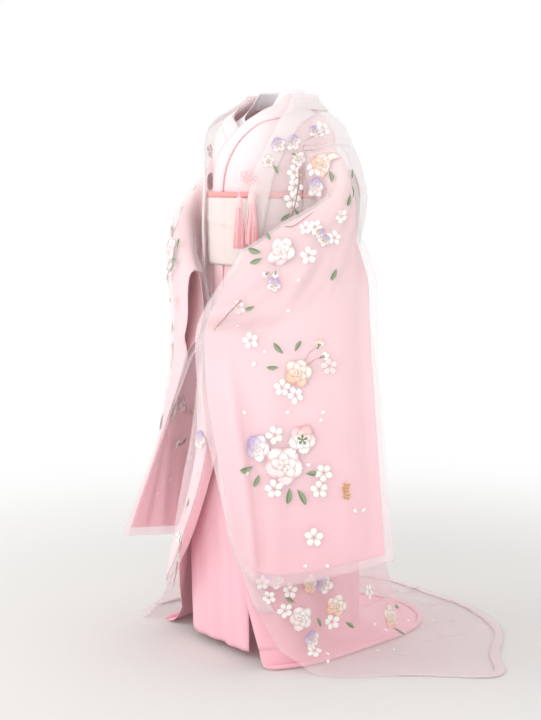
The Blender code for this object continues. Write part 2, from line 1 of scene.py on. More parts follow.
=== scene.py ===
"""Visual model of a worn wedding over-robe: organza over its trailing silk under-robe, with obi and tassel.

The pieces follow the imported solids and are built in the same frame: metres, +Z up, the wearer faces -Y, the
wearer's left is +X and the origin is the middle of the shoulders. Heights in the tables are above the floor.
"""
import logging
import math
import random
from collections.abc import Callable, Sequence
from dataclasses import dataclass, field
from enum import Enum
from functools import lru_cache
from typing import NamedTuple

import bmesh
import bpy
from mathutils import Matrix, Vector, noise


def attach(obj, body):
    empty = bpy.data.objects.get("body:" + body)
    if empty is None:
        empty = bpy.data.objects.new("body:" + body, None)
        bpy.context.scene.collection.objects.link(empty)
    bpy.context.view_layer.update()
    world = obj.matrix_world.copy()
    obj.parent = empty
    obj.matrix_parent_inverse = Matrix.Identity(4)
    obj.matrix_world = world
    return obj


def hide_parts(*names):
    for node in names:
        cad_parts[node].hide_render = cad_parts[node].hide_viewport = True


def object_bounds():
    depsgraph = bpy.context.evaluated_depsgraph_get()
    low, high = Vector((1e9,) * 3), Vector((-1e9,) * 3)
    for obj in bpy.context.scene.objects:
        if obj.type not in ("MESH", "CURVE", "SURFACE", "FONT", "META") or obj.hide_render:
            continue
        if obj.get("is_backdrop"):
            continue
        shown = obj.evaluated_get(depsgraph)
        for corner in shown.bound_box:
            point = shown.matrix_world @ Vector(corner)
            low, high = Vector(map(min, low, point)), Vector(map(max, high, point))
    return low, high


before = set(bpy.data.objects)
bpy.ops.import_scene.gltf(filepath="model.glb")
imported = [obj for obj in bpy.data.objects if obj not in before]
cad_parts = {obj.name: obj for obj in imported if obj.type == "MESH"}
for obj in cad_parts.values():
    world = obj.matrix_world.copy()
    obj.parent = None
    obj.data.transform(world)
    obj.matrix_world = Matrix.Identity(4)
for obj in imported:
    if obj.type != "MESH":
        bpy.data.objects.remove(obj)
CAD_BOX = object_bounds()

LOG = logging.getLogger("wedding_over_robe")

SHOULDER_HEIGHT = 1.38
CLOTH = 0.0012
ORGANZA = 0.0006
SEAM = 0.0003
LAP = 0.0075
FLOOR_GAP = 0.0015
FOOT_HEIGHT = 0.055
NAPE_BOTTOM = 1.397
COLLAR_GAP = 0.0020
HEM_ROLL = 0.0065
HEM_BAND = 0.030
TURN_METRES = 0.0035      # metres of panel width for one degree round the body
TRAIN_METRES = 0.50       # metres of panel length for the whole floor part
STATION_METRES = 0.062    # metres of sleeve width for one station

Colour = tuple[float, float, float]
Point2 = tuple[float, float]
Grid = list[list[Vector]]


class Side(Enum):
    """The wearer's two sides."""

    LEFT = 1
    RIGHT = -1


class Ring(NamedTuple):
    """Radii of a robe at one height, in eight directions from the front round by the left."""

    height: float
    radii: tuple[float, ...]


class Edge(NamedTuple):
    """Directions of the front edges and of the collars' outer edges at one height, in degrees."""

    height: float
    left: float
    left_collar: float
    right: float
    right_collar: float


class Hem(NamedTuple):
    """End of the floor part in one direction."""

    angle: float
    x: float
    y: float


class Station(NamedTuple):
    """One stop along the bent arm: upper fold, waist and lower fold of the sleeve, its girth and facing."""

    top: tuple[float, float, float]
    middle: tuple[float, float, float]
    low: tuple[float, float, float]
    front: float
    back: float
    turn: float


class Armhole(NamedTuple):
    """The opening of a body panel for the sleeve."""

    column: int
    half_angle: float
    heights: tuple[float, ...]


UNDER_RINGS = (
    Ring(1.450, (.060, .062, .064, .082, .094, .082, .064, .062)),
    Ring(1.425, (.066, .072, .076, .090, .098, .090, .076, .072)),
    Ring(1.400, (.078, .094, .104, .106, .104, .106, .104, .094)),
    Ring(1.380, (.092, .122, .145, .128, .110, .128, .145, .122)),
    Ring(1.345, (.116, .150, .176, .148, .118, .148, .176, .150)),
    Ring(1.280, (.140, .162, .182, .154, .126, .154, .182, .162)),
    Ring(1.180, (.144, .158, .170, .152, .130, .152, .170, .158)),
    Ring(1.000, (.144, .156, .165, .152, .136, .152, .165, .156)),
    Ring(0.850, (.160, .172, .178, .170, .162, .170, .178, .172)),
    Ring(0.600, (.190, .196, .186, .192, .195, .200, .205, .200)),
    Ring(0.300, (.212, .216, .190, .205, .225, .245, .258, .240)),
    Ring(0.055, (.225, .235, .188, .212, .250, .280, .300, .270)),
)
OVER_RINGS = (
    Ring(1.450, (.078, .082, .086, .103, .113, .103, .086, .082)),
    Ring(1.425, (.086, .095, .101, .112, .118, .112, .101, .095)),
    Ring(1.400, (.100, .122, .135, .134, .128, .134, .135, .122)),
    Ring(1.380, (.116, .149, .182, .160, .136, .160, .182, .149)),
    Ring(1.345, (.138, .172, .210, .184, .150, .184, .210, .172)),
    Ring(1.280, (.160, .180, .205, .214, .198, .214, .205, .180)),
    Ring(1.190, (.172, .184, .206, .238, .218, .238, .206, .184)),
    Ring(1.120, (.176, .187, .206, .232, .214, .232, .206, .187)),
    Ring(1.000, (.174, .187, .202, .208, .190, .208, .202, .186)),
    Ring(0.850, (.184, .192, .197, .202, .196, .204, .200, .188)),
    Ring(0.600, (.216, .220, .210, .220, .228, .238, .236, .220)),
    Ring(0.300, (.250, .248, .218, .254, .290, .300, .290, .266)),
    Ring(0.140, (.252, .252, .230, .290, .345, .350, .345, .292)),
    Ring(0.055, (.256, .252, .236, .320, .390, .400, .420, .320)),
)
UNDER_EDGES = (
    Edge(1.440, 76, 96, -76, -96), Edge(1.420, 60, 92, -60, -92), Edge(1.400, 44, 84, -44, -84),
    Edge(1.380, 26, 60, -26, -60), Edge(1.355, 4, 32, -4, -32), Edge(1.300, -16, 6, 16, -6),
    Edge(1.200, -27, -8, 27, 8), Edge(1.000, -27, -8, 27, 8), Edge(0.850, -20, -2, 22, 4),
    Edge(0.700, -3, 14, 16, -2), Edge(0.585, 8, 24, 6, -10), Edge(0.300, 24, 40, -24, -38),
    Edge(0.055, 40, 56, -66, -78),
)
OVER_EDGES = (
    Edge(1.440, 80, 100, -80, -100), Edge(1.410, 66, 94, -66, -94), Edge(1.385, 57, 84, -57, -84),
    Edge(1.362, 52, 70, -52, -70), Edge(1.300, 42, 58, -42, -58), Edge(1.230, 31, 49, -33, -51),
    Edge(1.100, 24, 41, -31, -47), Edge(1.000, 14, 31, -29, -45), Edge(0.850, -5, 11, -23, -39),
    Edge(0.700, 0, 14, -14, -28), Edge(0.570, 9, 22, -1, -14), Edge(0.450, 16, 28, -5, -17),
    Edge(0.300, 27, 38, -20, -31), Edge(0.150, 40, 50, -43, -53), Edge(0.055, 52, 61, -68, -75),
)
UNDER_HEM = (
    Hem(-70, -.325, -.100), Hem(-90, -.345, .020), Hem(-120, -.330, .190), Hem(-150, -.240, .390),
    Hem(-180, -.080, .480), Hem(-210, .060, .460), Hem(-240, .165, .350), Hem(-270, .205, .120),
    Hem(-296, .212, -.060), Hem(-322, .170, -.185),
)
OVER_HEM = (
    Hem(-66, -.385, -.165), Hem(-80, -.482, -.075), Hem(-100, -.480, .090), Hem(-122, -.450, .320),
    Hem(-145, -.390, .560), Hem(-165, -.250, .655), Hem(-185, -.060, .650), Hem(-205, .110, .635),
    Hem(-222, .235, .590), Hem(-238, .348, .520), Hem(-256, .470, .370), Hem(-274, .586, .232),
    Hem(-288, .440, .070), Hem(-300, .348, -.064), Hem(-310, .290, -.105),
)
LEFT_SLEEVE = (
    Station((.196, .000, 1.345), (.300, .014, 1.08), (.418, .000, .318), .030, .040, 180),
    Station((.258, -.010, 1.275), (.308, -.032, 1.04), (.377, -.055, .302), .026, .030, 135),
    Station((.288, -.049, 1.200), (.302, -.084, 0.98), (.336, -.110, .288), .036, .020, 85),
    Station((.250, -.102, 1.150), (.260, -.130, 0.92), (.296, -.163, .276), .046, .018, 56),
    Station((.204, -.140, 1.118), (.186, -.174, 0.88), (.256, -.215, .272), .044, .018, 53),
    Station((.170, -.176, 1.082), (.108, -.224, .855), (.214, -.258, .290), .040, .018, 53),
    Station((.135, -.206, 1.052), (.042, -.262, .845), (.176, -.284, .370), .036, .018, 53),
)
RIGHT_SLEEVE = (
    Station((-.196, .000, 1.345), (-.290, .024, 1.08), (-.372, .120, .235), .030, .040, -180),
    Station((-.256, -.002, 1.275), (-.300, -.006, 1.04), (-.384, .072, .238), .026, .030, -135),
    Station((-.288, -.036, 1.200), (-.298, -.048, 0.98), (-.394, .022, .242), .034, .020, -88),
    Station((-.250, -.096, 1.140), (-.262, -.104, 0.92), (-.402, -.030, .246), .040, .018, -52),
    Station((-.190, -.138, 1.090), (-.204, -.152, 0.88), (-.410, -.080, .250), .036, .018, -36),
    Station((-.130, -.178, 1.040), (-.134, -.194, .855), (-.416, -.128, .254), .026, .018, -28),
    Station((-.068, -.208, 1.000), (-.068, -.216, .845), (-.422, -.172, .258), .022, .018, -18),
)
STATIONS = {Side.LEFT: LEFT_SLEEVE, Side.RIGHT: RIGHT_SLEEVE}
LOW_TURN = {Side.LEFT: 53, Side.RIGHT: -101}
ARMHOLE_SHARES = (.72, .79, .86, .93, 1.0)
SEWN_SHARE = 0.64
WAIST_SHARE = 0.74
SLIT_EASE, CUFF_EASE = 0.28, 0.34
SLEEVE_EASE = 0.0110
SLEEVE_DROP, CUFF_DROP = 0.020, 0.012
CUFF_SEAM_DEPTH = 0.004
SLIT_DROP = 0.04


def cubic(xs: Sequence[float], ys: Sequence[float], x: float) -> float:
    """Value at x of a smooth curve through the points, which runs on straight past the ends.

    Args:
        xs: Rising places of the points.
        ys: Values of the points.
        x: Where the value is wanted.

    Returns:
        The value at x.
    """
    if x <= xs[0] or x >= xs[-1]:
        first = 0 if x <= xs[0] else len(xs) - 2
        slope = (ys[first + 1] - ys[first]) / (xs[first + 1] - xs[first])
        anchor = 0 if x <= xs[0] else -1
        return ys[anchor] + slope * (x - xs[anchor])
    k = max(i for i in range(len(xs) - 1) if xs[i] <= x)

    def slope_at(i: int) -> float:
        """Slope of the curve at point i."""
        low, high = max(i - 1, 0), min(i + 1, len(xs) - 1)
        return (ys[high] - ys[low]) / (xs[high] - xs[low])

    span = xs[k + 1] - xs[k]
    t = (x - xs[k]) / span
    start, end = slope_at(k) * span, slope_at(k + 1) * span
    return (ys[k] * (2 * t**3 - 3 * t**2 + 1) + start * (t**3 - 2 * t**2 + t)
            + ys[k + 1] * (3 * t**2 - 2 * t**3) + end * (t**3 - t**2))


def ease(value: float) -> float:
    """0 below 0, 1 above 1 and smooth between."""
    value = min(max(value, 0.0), 1.0)
    return value * value * (3 - 2 * value)


def lerp(first: float, second: float, share: float) -> float:
    """The number a share of the way from the first to the second."""
    return first + (second - first) * share


def at(x: float, y: float, height: float) -> Vector:
    """The point at x and y, at a height above the floor."""
    return Vector((x, y, height - SHOULDER_HEIGHT))


def polar(angle: float, radius: float, height: float) -> Vector:
    """The point at a direction round the body, a radius and a height above the floor."""
    turn = math.radians(angle)
    return at(radius * math.sin(turn), -radius * math.cos(turn), height)


def refine(stops: Sequence[float], parts: int) -> list[float]:
    """The stops with each gap cut into equal parts."""
    fine = [lerp(a, b, k / parts) for a, b in zip(stops, stops[1:]) for k in range(parts)]
    return fine + [stops[-1]]


@dataclass(frozen=True)
class Fold:
    """One crease: a soft ridge or valley along a bowed line, in a panel's own metres.

    Attributes:
        start: Where it starts.
        end: Where it ends.
        width: Half width of its cross-section.
        depth: How far it stands out, or in if negative.
        bow: How far its middle bends to one side.
        lean: How much steeper one flank is, from -1 to 1.
        open_start: It starts at full depth, as at a seam.
        open_end: It ends at full depth.
    """

    start: Point2
    end: Point2
    width: float
    depth: float
    bow: float = 0.0
    lean: float = 0.0
    open_start: bool = False
    open_end: bool = False

    def rise(self, u: float, v: float) -> float:
        """How far the cloth stands out at a point of the panel.

        Args:
            u: Place across the panel.
            v: Place along the panel.

        Returns:
            The displacement in metres.
        """
        du, dv = self.end[0] - self.start[0], self.end[1] - self.start[1]
        length = math.hypot(du, dv)
        along = ((u - self.start[0]) * du + (v - self.start[1]) * dv) / length**2
        side = ((u - self.start[0]) * dv - (v - self.start[1]) * du) / length
        t = min(max(along, 0.0), 1.0)
        beyond = (along - t) * length
        across = (side - self.bow * 4 * t * (1 - t)) / self.width
        past = beyond / self.width
        if across * across + past * past > 9:
            return 0.0
        fade = 1.0
        if not self.open_start:
            fade *= ease(t / 0.4)
        if not self.open_end:
            fade *= ease((1 - t) / 0.4)
        shape = math.exp(-across * across - past * past)
        return self.depth * fade * shape * (1 + self.lean * across)


def crumple(place: Vector, amount: float) -> float:
    """Fine uneven waviness of cloth at a place, up to an amount in metres."""
    coarse = noise.noise(place * 5.0)
    return amount * (coarse + 0.45 * noise.noise(place * 13.0 + Vector((7.0, 3.0, 1.0))))


class RobeForm:
    """A robe as worn: rings round the body, front edges, and the train on the floor."""

    def __init__(self, rings: Sequence[Ring], edges: Sequence[Edge], hem: Sequence[Hem],
                 rows: Sequence[float], armhole: Armhole, columns: int, lap: float) -> None:
        """Keep the tables in rising order of height.

        Args:
            rings: Radii, from the top down.
            edges: Front edges, from the top down.
            hem: End of the floor part, round the robe.
            rows: Heights of the rows, from the top down.
            armhole: The opening for the sleeve.
            columns: Columns of a body panel.
            lap: How far the left front lies over the right.
        """
        self.heights = [ring.height for ring in reversed(rings)]
        self.radii = [[ring.radii[k] for ring in reversed(rings)] for k in range(8)]
        self.edges = edges
        self.hem = hem
        self.rows = rows
        self.armhole = armhole
        self.columns = columns
        self.lap = lap
        self.compass: dict[float, list[float]] = {}

    def radius(self, angle: float, height: float) -> float:
        """Radius in one direction, smooth all round and up and down.

        Args:
            angle: Direction in degrees.
            height: Height above the floor.

        Returns:
            The radius.
        """
        if height not in self.compass:
            around = [cubic(self.heights, column, height) for column in self.radii]
            self.compass[height] = around[-3:] + around + around[:3]
        return cubic(range(-135, 450, 45), self.compass[height], angle % 360)

    def surface(self, angle: float, height: float) -> Vector:
        """The point of the form in a direction at a height."""
        return polar(angle, self.radius(angle, height), height)

    def point(self, angle: float, height: float, out: float = 0.0) -> Vector:
        """A point moved out square to the cloth.

        Args:
            angle: Direction in degrees.
            height: Height above the floor.
            out: How far it is moved.

        Returns:
            The point.
        """
        here = self.surface(angle, height)
        if out == 0.0:
            return here
        across = self.surface(angle + 0.5, height) - self.surface(angle - 0.5, height)
        up = self.surface(angle, height + 0.002) - self.surface(angle, height - 0.002)
        return here + across.cross(up).normalized() * out

    def edge(self, height: float, side: Side, collar: bool = False) -> float:
        """Direction of a front edge, or of its collar's outer edge, at a height.

        Args:
            height: Height above the floor.
            side: Which front.
            collar: The collar's outer edge instead.

        Returns:
            The direction in degrees.
        """
        name = side.name.lower() + ("_collar" if collar else "")
        column = [getattr(edge, name) for edge in reversed(self.edges)]
        return cubic([edge.height for edge in reversed(self.edges)], column, height)

    def lapped(self, angle: float, side: Side) -> float:
        """The left front lies over the right one near the middle."""
        return self.lap * ease((62 - angle) / 24) if side is Side.LEFT and angle < 90 else 0.0

    def hem_point(self, angle: float) -> Point2:
        """End of the cloth on the floor for a direction from 0 to -360."""
        angles = [-row.angle for row in self.hem]
        xs, ys = [row.x for row in self.hem], [row.y for row in self.hem]
        return cubic(angles, xs, -angle), cubic(angles, ys, -angle)

    def directions(self, side: Side, height: float) -> list[float]:
        """Directions of the columns of a body panel in one row, front edge first.

        Args:
            side: Which panel.
            height: Height of the row.

        Returns:
            The directions in degrees.
        """
        sign = side.value
        front, collar = self.edge(height, side), self.edge(height, side, collar=True)
        centre_back = sign * (180 - math.degrees(SEAM / 2 / self.radius(180, height)))
        steps = self.columns - 1
        even = [collar + (centre_back - collar) * k / steps for k in range(steps + 1)]
        low, high = self.armhole.heights[0], self.armhole.heights[-1]
        if height > high:
            return [front] + even
        gate = [sign * (90 - self.armhole.half_angle), sign * (90 + self.armhole.half_angle)]
        after, before = steps - self.armhole.column - 1, self.armhole.column - 1
        framed = [collar + (gate[0] - collar) * k / before for k in range(before)]
        framed += [gate[0], sign * 90, gate[1]]
        framed += [gate[1] + (centre_back - gate[1]) * k / after for k in range(1, after + 1)]
        beside = 1 - ease((low - height) / 0.5)
        return [front] + [spread + (near - spread) * beside for spread, near in zip(even, framed)]

    def train(self, angle: float, share: float, lift: Callable[[float, float], float]) -> Vector:
        """A point on the floor part, from the foot (0) to the hem (1).

        Args:
            angle: Direction from 0 to -360.
            share: How far towards the hem.
            lift: Height of the cloth over the floor at a place.

        Returns:
            The point.
        """
        foot = self.surface(angle, FOOT_HEIGHT)
        hem_x, hem_y = self.hem_point(angle)
        x, y = lerp(foot.x, hem_x, share), lerp(foot.y, hem_y, share)
        resting = lift(x, y)
        return at(x, y, resting + (FOOT_HEIGHT - resting) * (1 - share)**3)

    def reach(self, x: float, y: float) -> float:
        """How far the hem reaches on the floor in the direction of a point."""
        turns = sorted((math.atan2(row.y, row.x), math.hypot(row.x, row.y)) for row in self.hem)
        turns = [(turns[-1][0] - math.tau, turns[-1][1])] + turns + [(turns[0][0] + math.tau, turns[0][1])]
        return cubic([turn for turn, _ in turns], [radius for _, radius in turns], math.atan2(y, x))


UNDER = RobeForm(
    UNDER_RINGS, UNDER_EDGES, UNDER_HEM,
    rows=(1.440, 1.420, 1.400, 1.376, 1.340, 1.300, 1.277, 1.254, 1.230, 1.130, 1.020, 0.900, 0.740, 0.585,
          0.420, 0.240, 0.130, 0.055),
    armhole=Armhole(5, 16, (1.230, 1.254, 1.277, 1.300)), columns=11, lap=LAP)
OVER = RobeForm(
    OVER_RINGS, OVER_EDGES, OVER_HEM,
    rows=(1.440, 1.420, 1.398, 1.376, 1.350, 1.312, 1.250, 1.190, 1.130, 1.040, 0.920, 0.760, 0.600, 0.440,
          0.280, 0.150, 0.055),
    armhole=Armhole(3, 20, (1.130, 1.190, 1.250, 1.312)), columns=13, lap=0.0)


def under_lift(x: float, y: float) -> float:
    """The silk train rests on its padded hem, just over the floor."""
    return FLOOR_GAP + HEM_ROLL * 0.6


def over_lift(x: float, y: float) -> float:
    """The organza lies on the silk train and its padded hem, then comes down to the floor."""
    past = math.hypot(x, y) - UNDER.reach(x, y)
    return FLOOR_GAP + (2 * HEM_ROLL + 0.012) * ease((0.085 - past) / 0.06)


BODY_FOLDS = (
    Fold((.05, .95), (.10, .06), .022, .009, .01, .3, open_end=True),
    Fold((.10, .80), (.17, .06), .018, -.008, .0, .2, open_end=True),
    Fold((.16, .90), (.24, .06), .024, .010, -.01, -.3, open_end=True),
    Fold((.24, .85), (.31, .06), .020, -.008, .01, .0, open_end=True),
    Fold((.33, .92), (.36, .06), .026, .009, .0, .3, open_end=True),
    Fold((.42, .88), (.45, .06), .022, -.008, .01, .2, open_end=True),
    Fold((.47, .95), (.52, .06), .024, .010, -.01, .0, open_end=True),
    Fold((.55, .90), (.60, .06), .020, -.007, .0, .3, open_end=True),
    Fold((-.06, .70), (-.14, .06), .018, .007, .01, .2, open_end=True),
    Fold((-.12, .90), (-.22, .06), .022, -.008, -.01, .0, open_end=True),
    Fold((-.20, .93), (-.30, .06), .024, .010, .0, .3, open_end=True),
    Fold((-.30, .88), (-.37, .06), .020, -.008, .01, .0, open_end=True),
    Fold((-.38, .95), (-.44, .06), .026, .010, -.01, .3, open_end=True),
    Fold((-.46, .90), (-.51, .06), .020, -.008, .0, .2, open_end=True),
    Fold((-.55, .92), (-.58, .06), .024, .009, .01, .0, open_end=True),
)
OVER_FOLDS = (
    Fold((.26, 1.34), (.17, 1.20), .010, .005, .01, .4),
    Fold((.22, 1.24), (.14, 1.10), .008, .004, .0, -.3),
    Fold((.30, 1.34), (.26, 1.10), .010, -.004, .0, .3), Fold((.19, 1.12), (.20, .75), .012, .007, .01, .3),
    Fold((.12, 1.02), (.13, .60), .010, .006, -.01, .2),
    Fold((.24, 1.05), (.27, .50), .014, -.006, .01, .0),
    Fold((-.26, 1.34), (-.17, 1.20), .010, .005, -.01, .4),
    Fold((-.22, 1.20), (-.14, 1.05), .008, .004, .0, .3),
    Fold((-.15, 1.05), (-.12, .55), .012, .007, -.01, .2),
    Fold((-.22, 1.00), (-.24, .50), .012, -.006, .0, .3),
    Fold((.48, 1.33), (.55, 1.15), .012, .005, .0, .3),
    Fold((-.48, 1.33), (-.55, 1.12), .012, .005, .01, .3),
    Fold((.44, 1.10), (.50, .60), .014, .006, .01, .3),
    Fold((-.44, 1.10), (-.48, .60), .014, .006, -.01, .3),
    Fold((.58, 1.05), (.56, .50), .012, .006, .01, .0),
    Fold((-.58, 1.02), (-.60, .50), .012, -.005, .0, .2),
)
TRAIN_FOLDS = (
    Fold((.30, .12), (.29, .53), .010, .008, .02, .3), Fold((.22, .30), (.24, .62), .012, .007, -.01, .2),
    Fold((.27, .05), (.50, .26), .012, .009, .01, .0), Fold((.10, .38), (.06, .66), .014, .009, .01, .3),
    Fold((-.04, .40), (-.10, .66), .012, .007, .0, .0), Fold((-.16, .36), (-.28, .64), .014, .010, -.01, .3),
    Fold((-.28, .28), (-.42, .48), .012, .007, .01, .2), Fold((-.34, .12), (-.48, .22), .014, .009, .0, .3),
    Fold((-.36, .0), (-.49, .0), .012, .006, .01, .0), Fold((.36, .20), (.40, .45), .008, .005, .01, .3),
    Fold((.16, .45), (.34, .50), .007, .004, .01, .2), Fold((.00, .55), (.20, .60), .007, .003, -.01, .2),
)
SLEEVE_FOLDS: dict[Side, tuple[Fold, ...]] = {
    Side.LEFT: (
        Fold((.150, .885), (.215, .760), .010, -.009, .008, .4),
        Fold((.172, .89), (.240, .775), .010, .006, .01, .2),
        Fold((.372, .800), (.205, .735), .010, .010, .012, .3, open_start=True),
        Fold((.372, .768), (.215, .700), .009, -.009, .010, .2, open_start=True),
        Fold((.330, .760), (.300, .020), .011, .010, .008, .5, open_end=True),
        Fold((.308, .720), (.284, .020), .013, -.010, .006, .2, open_end=True),
        Fold((.110, .760), (.085, .000), .030, .008, .010, .2, open_end=True),
        Fold((.200, .680), (.205, .000), .028, -.006, -.008, .0, open_end=True),
        Fold((.045, .740), (.025, .000), .020, -.007, .005, .2, open_end=True),
        Fold((.250, .640), (.245, .050), .020, .004, .004, .0, open_end=True),
        Fold((.060, .955), (.150, .870), .010, -.008, .012, .3),
        Fold((.040, .90), (.120, .80), .012, .007, -.01, .2),
        Fold((.110, .960), (.190, .900), .009, -.006, .008, .3),
        Fold((.200, .960), (.300, .880), .010, .005, .01, .2),
        Fold((.230, .900), (.330, .830), .008, -.005, .008, .3),
        Fold((.090, .84), (.160, .70), .014, .006, .01, .0),
    ),
    Side.RIGHT: (
        Fold((.150, .885), (.235, .760), .012, -.008, .010, .4),
        Fold((.330, .740), (.300, .020), .016, .009, .01, .3, open_end=True),
        Fold((.270, .720), (.250, .010), .018, -.008, -.01, .2, open_end=True),
        Fold((.110, .760), (.085, .000), .026, .008, .010, .2, open_end=True),
        Fold((.190, .700), (.180, .000), .022, -.007, -.01, .0, open_end=True),
        Fold((.045, .740), (.025, .000), .020, -.007, .005, .2, open_end=True),
        Fold((.060, .955), (.150, .870), .010, -.007, .012, .3),
        Fold((.200, .960), (.300, .880), .010, .005, .01, .2),
        Fold((.090, .84), (.160, .70), .014, .006, .01, .0),
    ),
}


class Panel:
    """A piece of cloth addressed by its own metres: u across and v along."""

    def point(self, u: float, v: float, out: float = 0.0) -> Vector:
        """A point of the cloth, moved out by an amount."""
        raise NotImplementedError

    def outward(self, u: float, v: float) -> Vector:
        """Roughly which way the cloth faces."""
        raise NotImplementedError

    def frame_at(self, u: float, v: float) -> tuple[Vector, Vector, Vector, Vector]:
        """The point, the two slopes for one metre of u and of v, and the outward direction.

        Args:
            u: Place across the cloth.
            v: Place along the cloth.

        Returns:
            The four vectors.
        """
        step = 0.003
        here = self.point(u, v)
        across = (self.point(u + step, v) - self.point(u - step, v)) / (2 * step)
        along = (self.point(u, v + step) - self.point(u, v - step)) / (2 * step)
        return here, across, along, across.cross(along).normalized()


class BodyPanel(Panel):
    """One body width of a robe with its part of the train."""

    def __init__(self, form: RobeForm, side: Side, lift: Callable[[float, float], float],
                 folds: Sequence[Fold], waist_smooth: bool) -> None:
        """Keep what shapes the panel."""
        self.form, self.side, self.lift, self.folds = form, side, lift, folds
        self.waist_smooth = waist_smooth

    def rise(self, angle: float, height: float) -> float:
        """How far the cloth stands out from the form on the body.

        Args:
            angle: Direction in degrees.
            height: Height above the floor.

        Returns:
            The displacement in metres.
        """
        u = angle * TURN_METRES
        total = sum(fold.rise(u, height) for fold in self.folds)
        calm = ease((1.36 - height) / 0.06)
        if self.waist_smooth:
            calm *= 1 - ease((height - 0.93) / 0.06) * ease((1.24 - height) / 0.04)
        return (total + crumple(Vector((u * 1.4, height, 0.3)), 0.0022)) * calm

    def point(self, u: float, v: float, out: float = 0.0) -> Vector:
        """A point of the panel; v below the foot height runs along the floor.

        Args:
            u: Place across the cloth.
            v: Place along the cloth.
            out: How far it is moved out.

        Returns:
            The point.
        """
        angle = u / TURN_METRES
        if v >= FOOT_HEIGHT:
            lapped = self.form.lapped(angle, self.side)
            foot = ease((v - FOOT_HEIGHT) / 0.10)
            rise = self.rise(angle, v)
            return self.form.point(angle, v, lapped + out + rise * lerp(0.5, 1.0, foot))
        share = (FOOT_HEIGHT - v) / TRAIN_METRES
        around = angle - 360 if self.side is Side.LEFT else angle
        here = self.form.train(around, share, self.lift)
        flat = ease(share / 0.3)
        ripple = sum(fold.rise(here.x, here.y) for fold in TRAIN_FOLDS)
        ripple += 0.0012 + crumple(Vector((here.x, here.y, 0.7)), 0.0012)
        edge = self.rise(angle, FOOT_HEIGHT) * 0.5 * (1 - flat)
        away = Vector((here.x, here.y, 0.0)).normalized()
        here = here + away * edge
        here.z += max(ripple, 0.0) * flat
        here.z += out * ease(share / 0.1)
        return here + Vector((here.x, here.y, 0.0)).normalized() * out * (1 - ease(share / 0.1))

    def outward(self, u: float, v: float) -> Vector:
        """Roughly which way the panel faces.

        Args:
            u: Place across the cloth.
            v: Place along the cloth.

        Returns:
            The direction.
        """
        if v < FOOT_HEIGHT - 0.02:
            return Vector((0.0, 0.0, 1.0))
        turn = math.radians(u / TURN_METRES)
        return Vector((math.sin(turn), -math.cos(turn), 0.0))

    def grid(self, parts: int, train_parts: int) -> tuple[Grid, list[list[Point2]], list[list[bool]]]:
        """Points of the panel on a fine net.

        Args:
            parts: How many parts each cell of the solid is cut into.
            train_parts: Rows of the floor part.

        Returns:
            The points, their own metres, and which cells have cloth.
        """
        form = self.form
        cells, places = [], []
        hole = (form.armhole.column, form.armhole.column + 1)
        low, high = form.armhole.heights[0], form.armhole.heights[-1]
        for upper, lower in zip(form.rows, form.rows[1:]):
            first, second = form.directions(self.side, upper), form.directions(self.side, lower)
            beside = upper <= high and lower >= low
            count = parts if upper - lower < 0.05 else 2 * parts
            for k in range(count):
                share = k / count
                height = lerp(upper, lower, share)
                angles = [lerp(a, b, share) for a, b in zip(first, second)]
                angles[0] = form.edge(height, self.side)
                angles[1] = form.edge(height, self.side, collar=True)
                places.append([(angle * TURN_METRES, height) for angle in refine(angles, parts)])
                cells.append([not (beside and c // parts in hole) for c in range(parts * (len(angles) - 1))])
        foot = refine(form.directions(self.side, FOOT_HEIGHT), parts)
        for k in range(train_parts + 1):
            share = k / train_parts
            places.append([(angle * TURN_METRES, FOOT_HEIGHT - TRAIN_METRES * share) for angle in foot])
            cells.append([True] * (len(foot) - 1))
        rows = [[self.point(u, v) for u, v in row] for row in places]
        return rows, places, cells


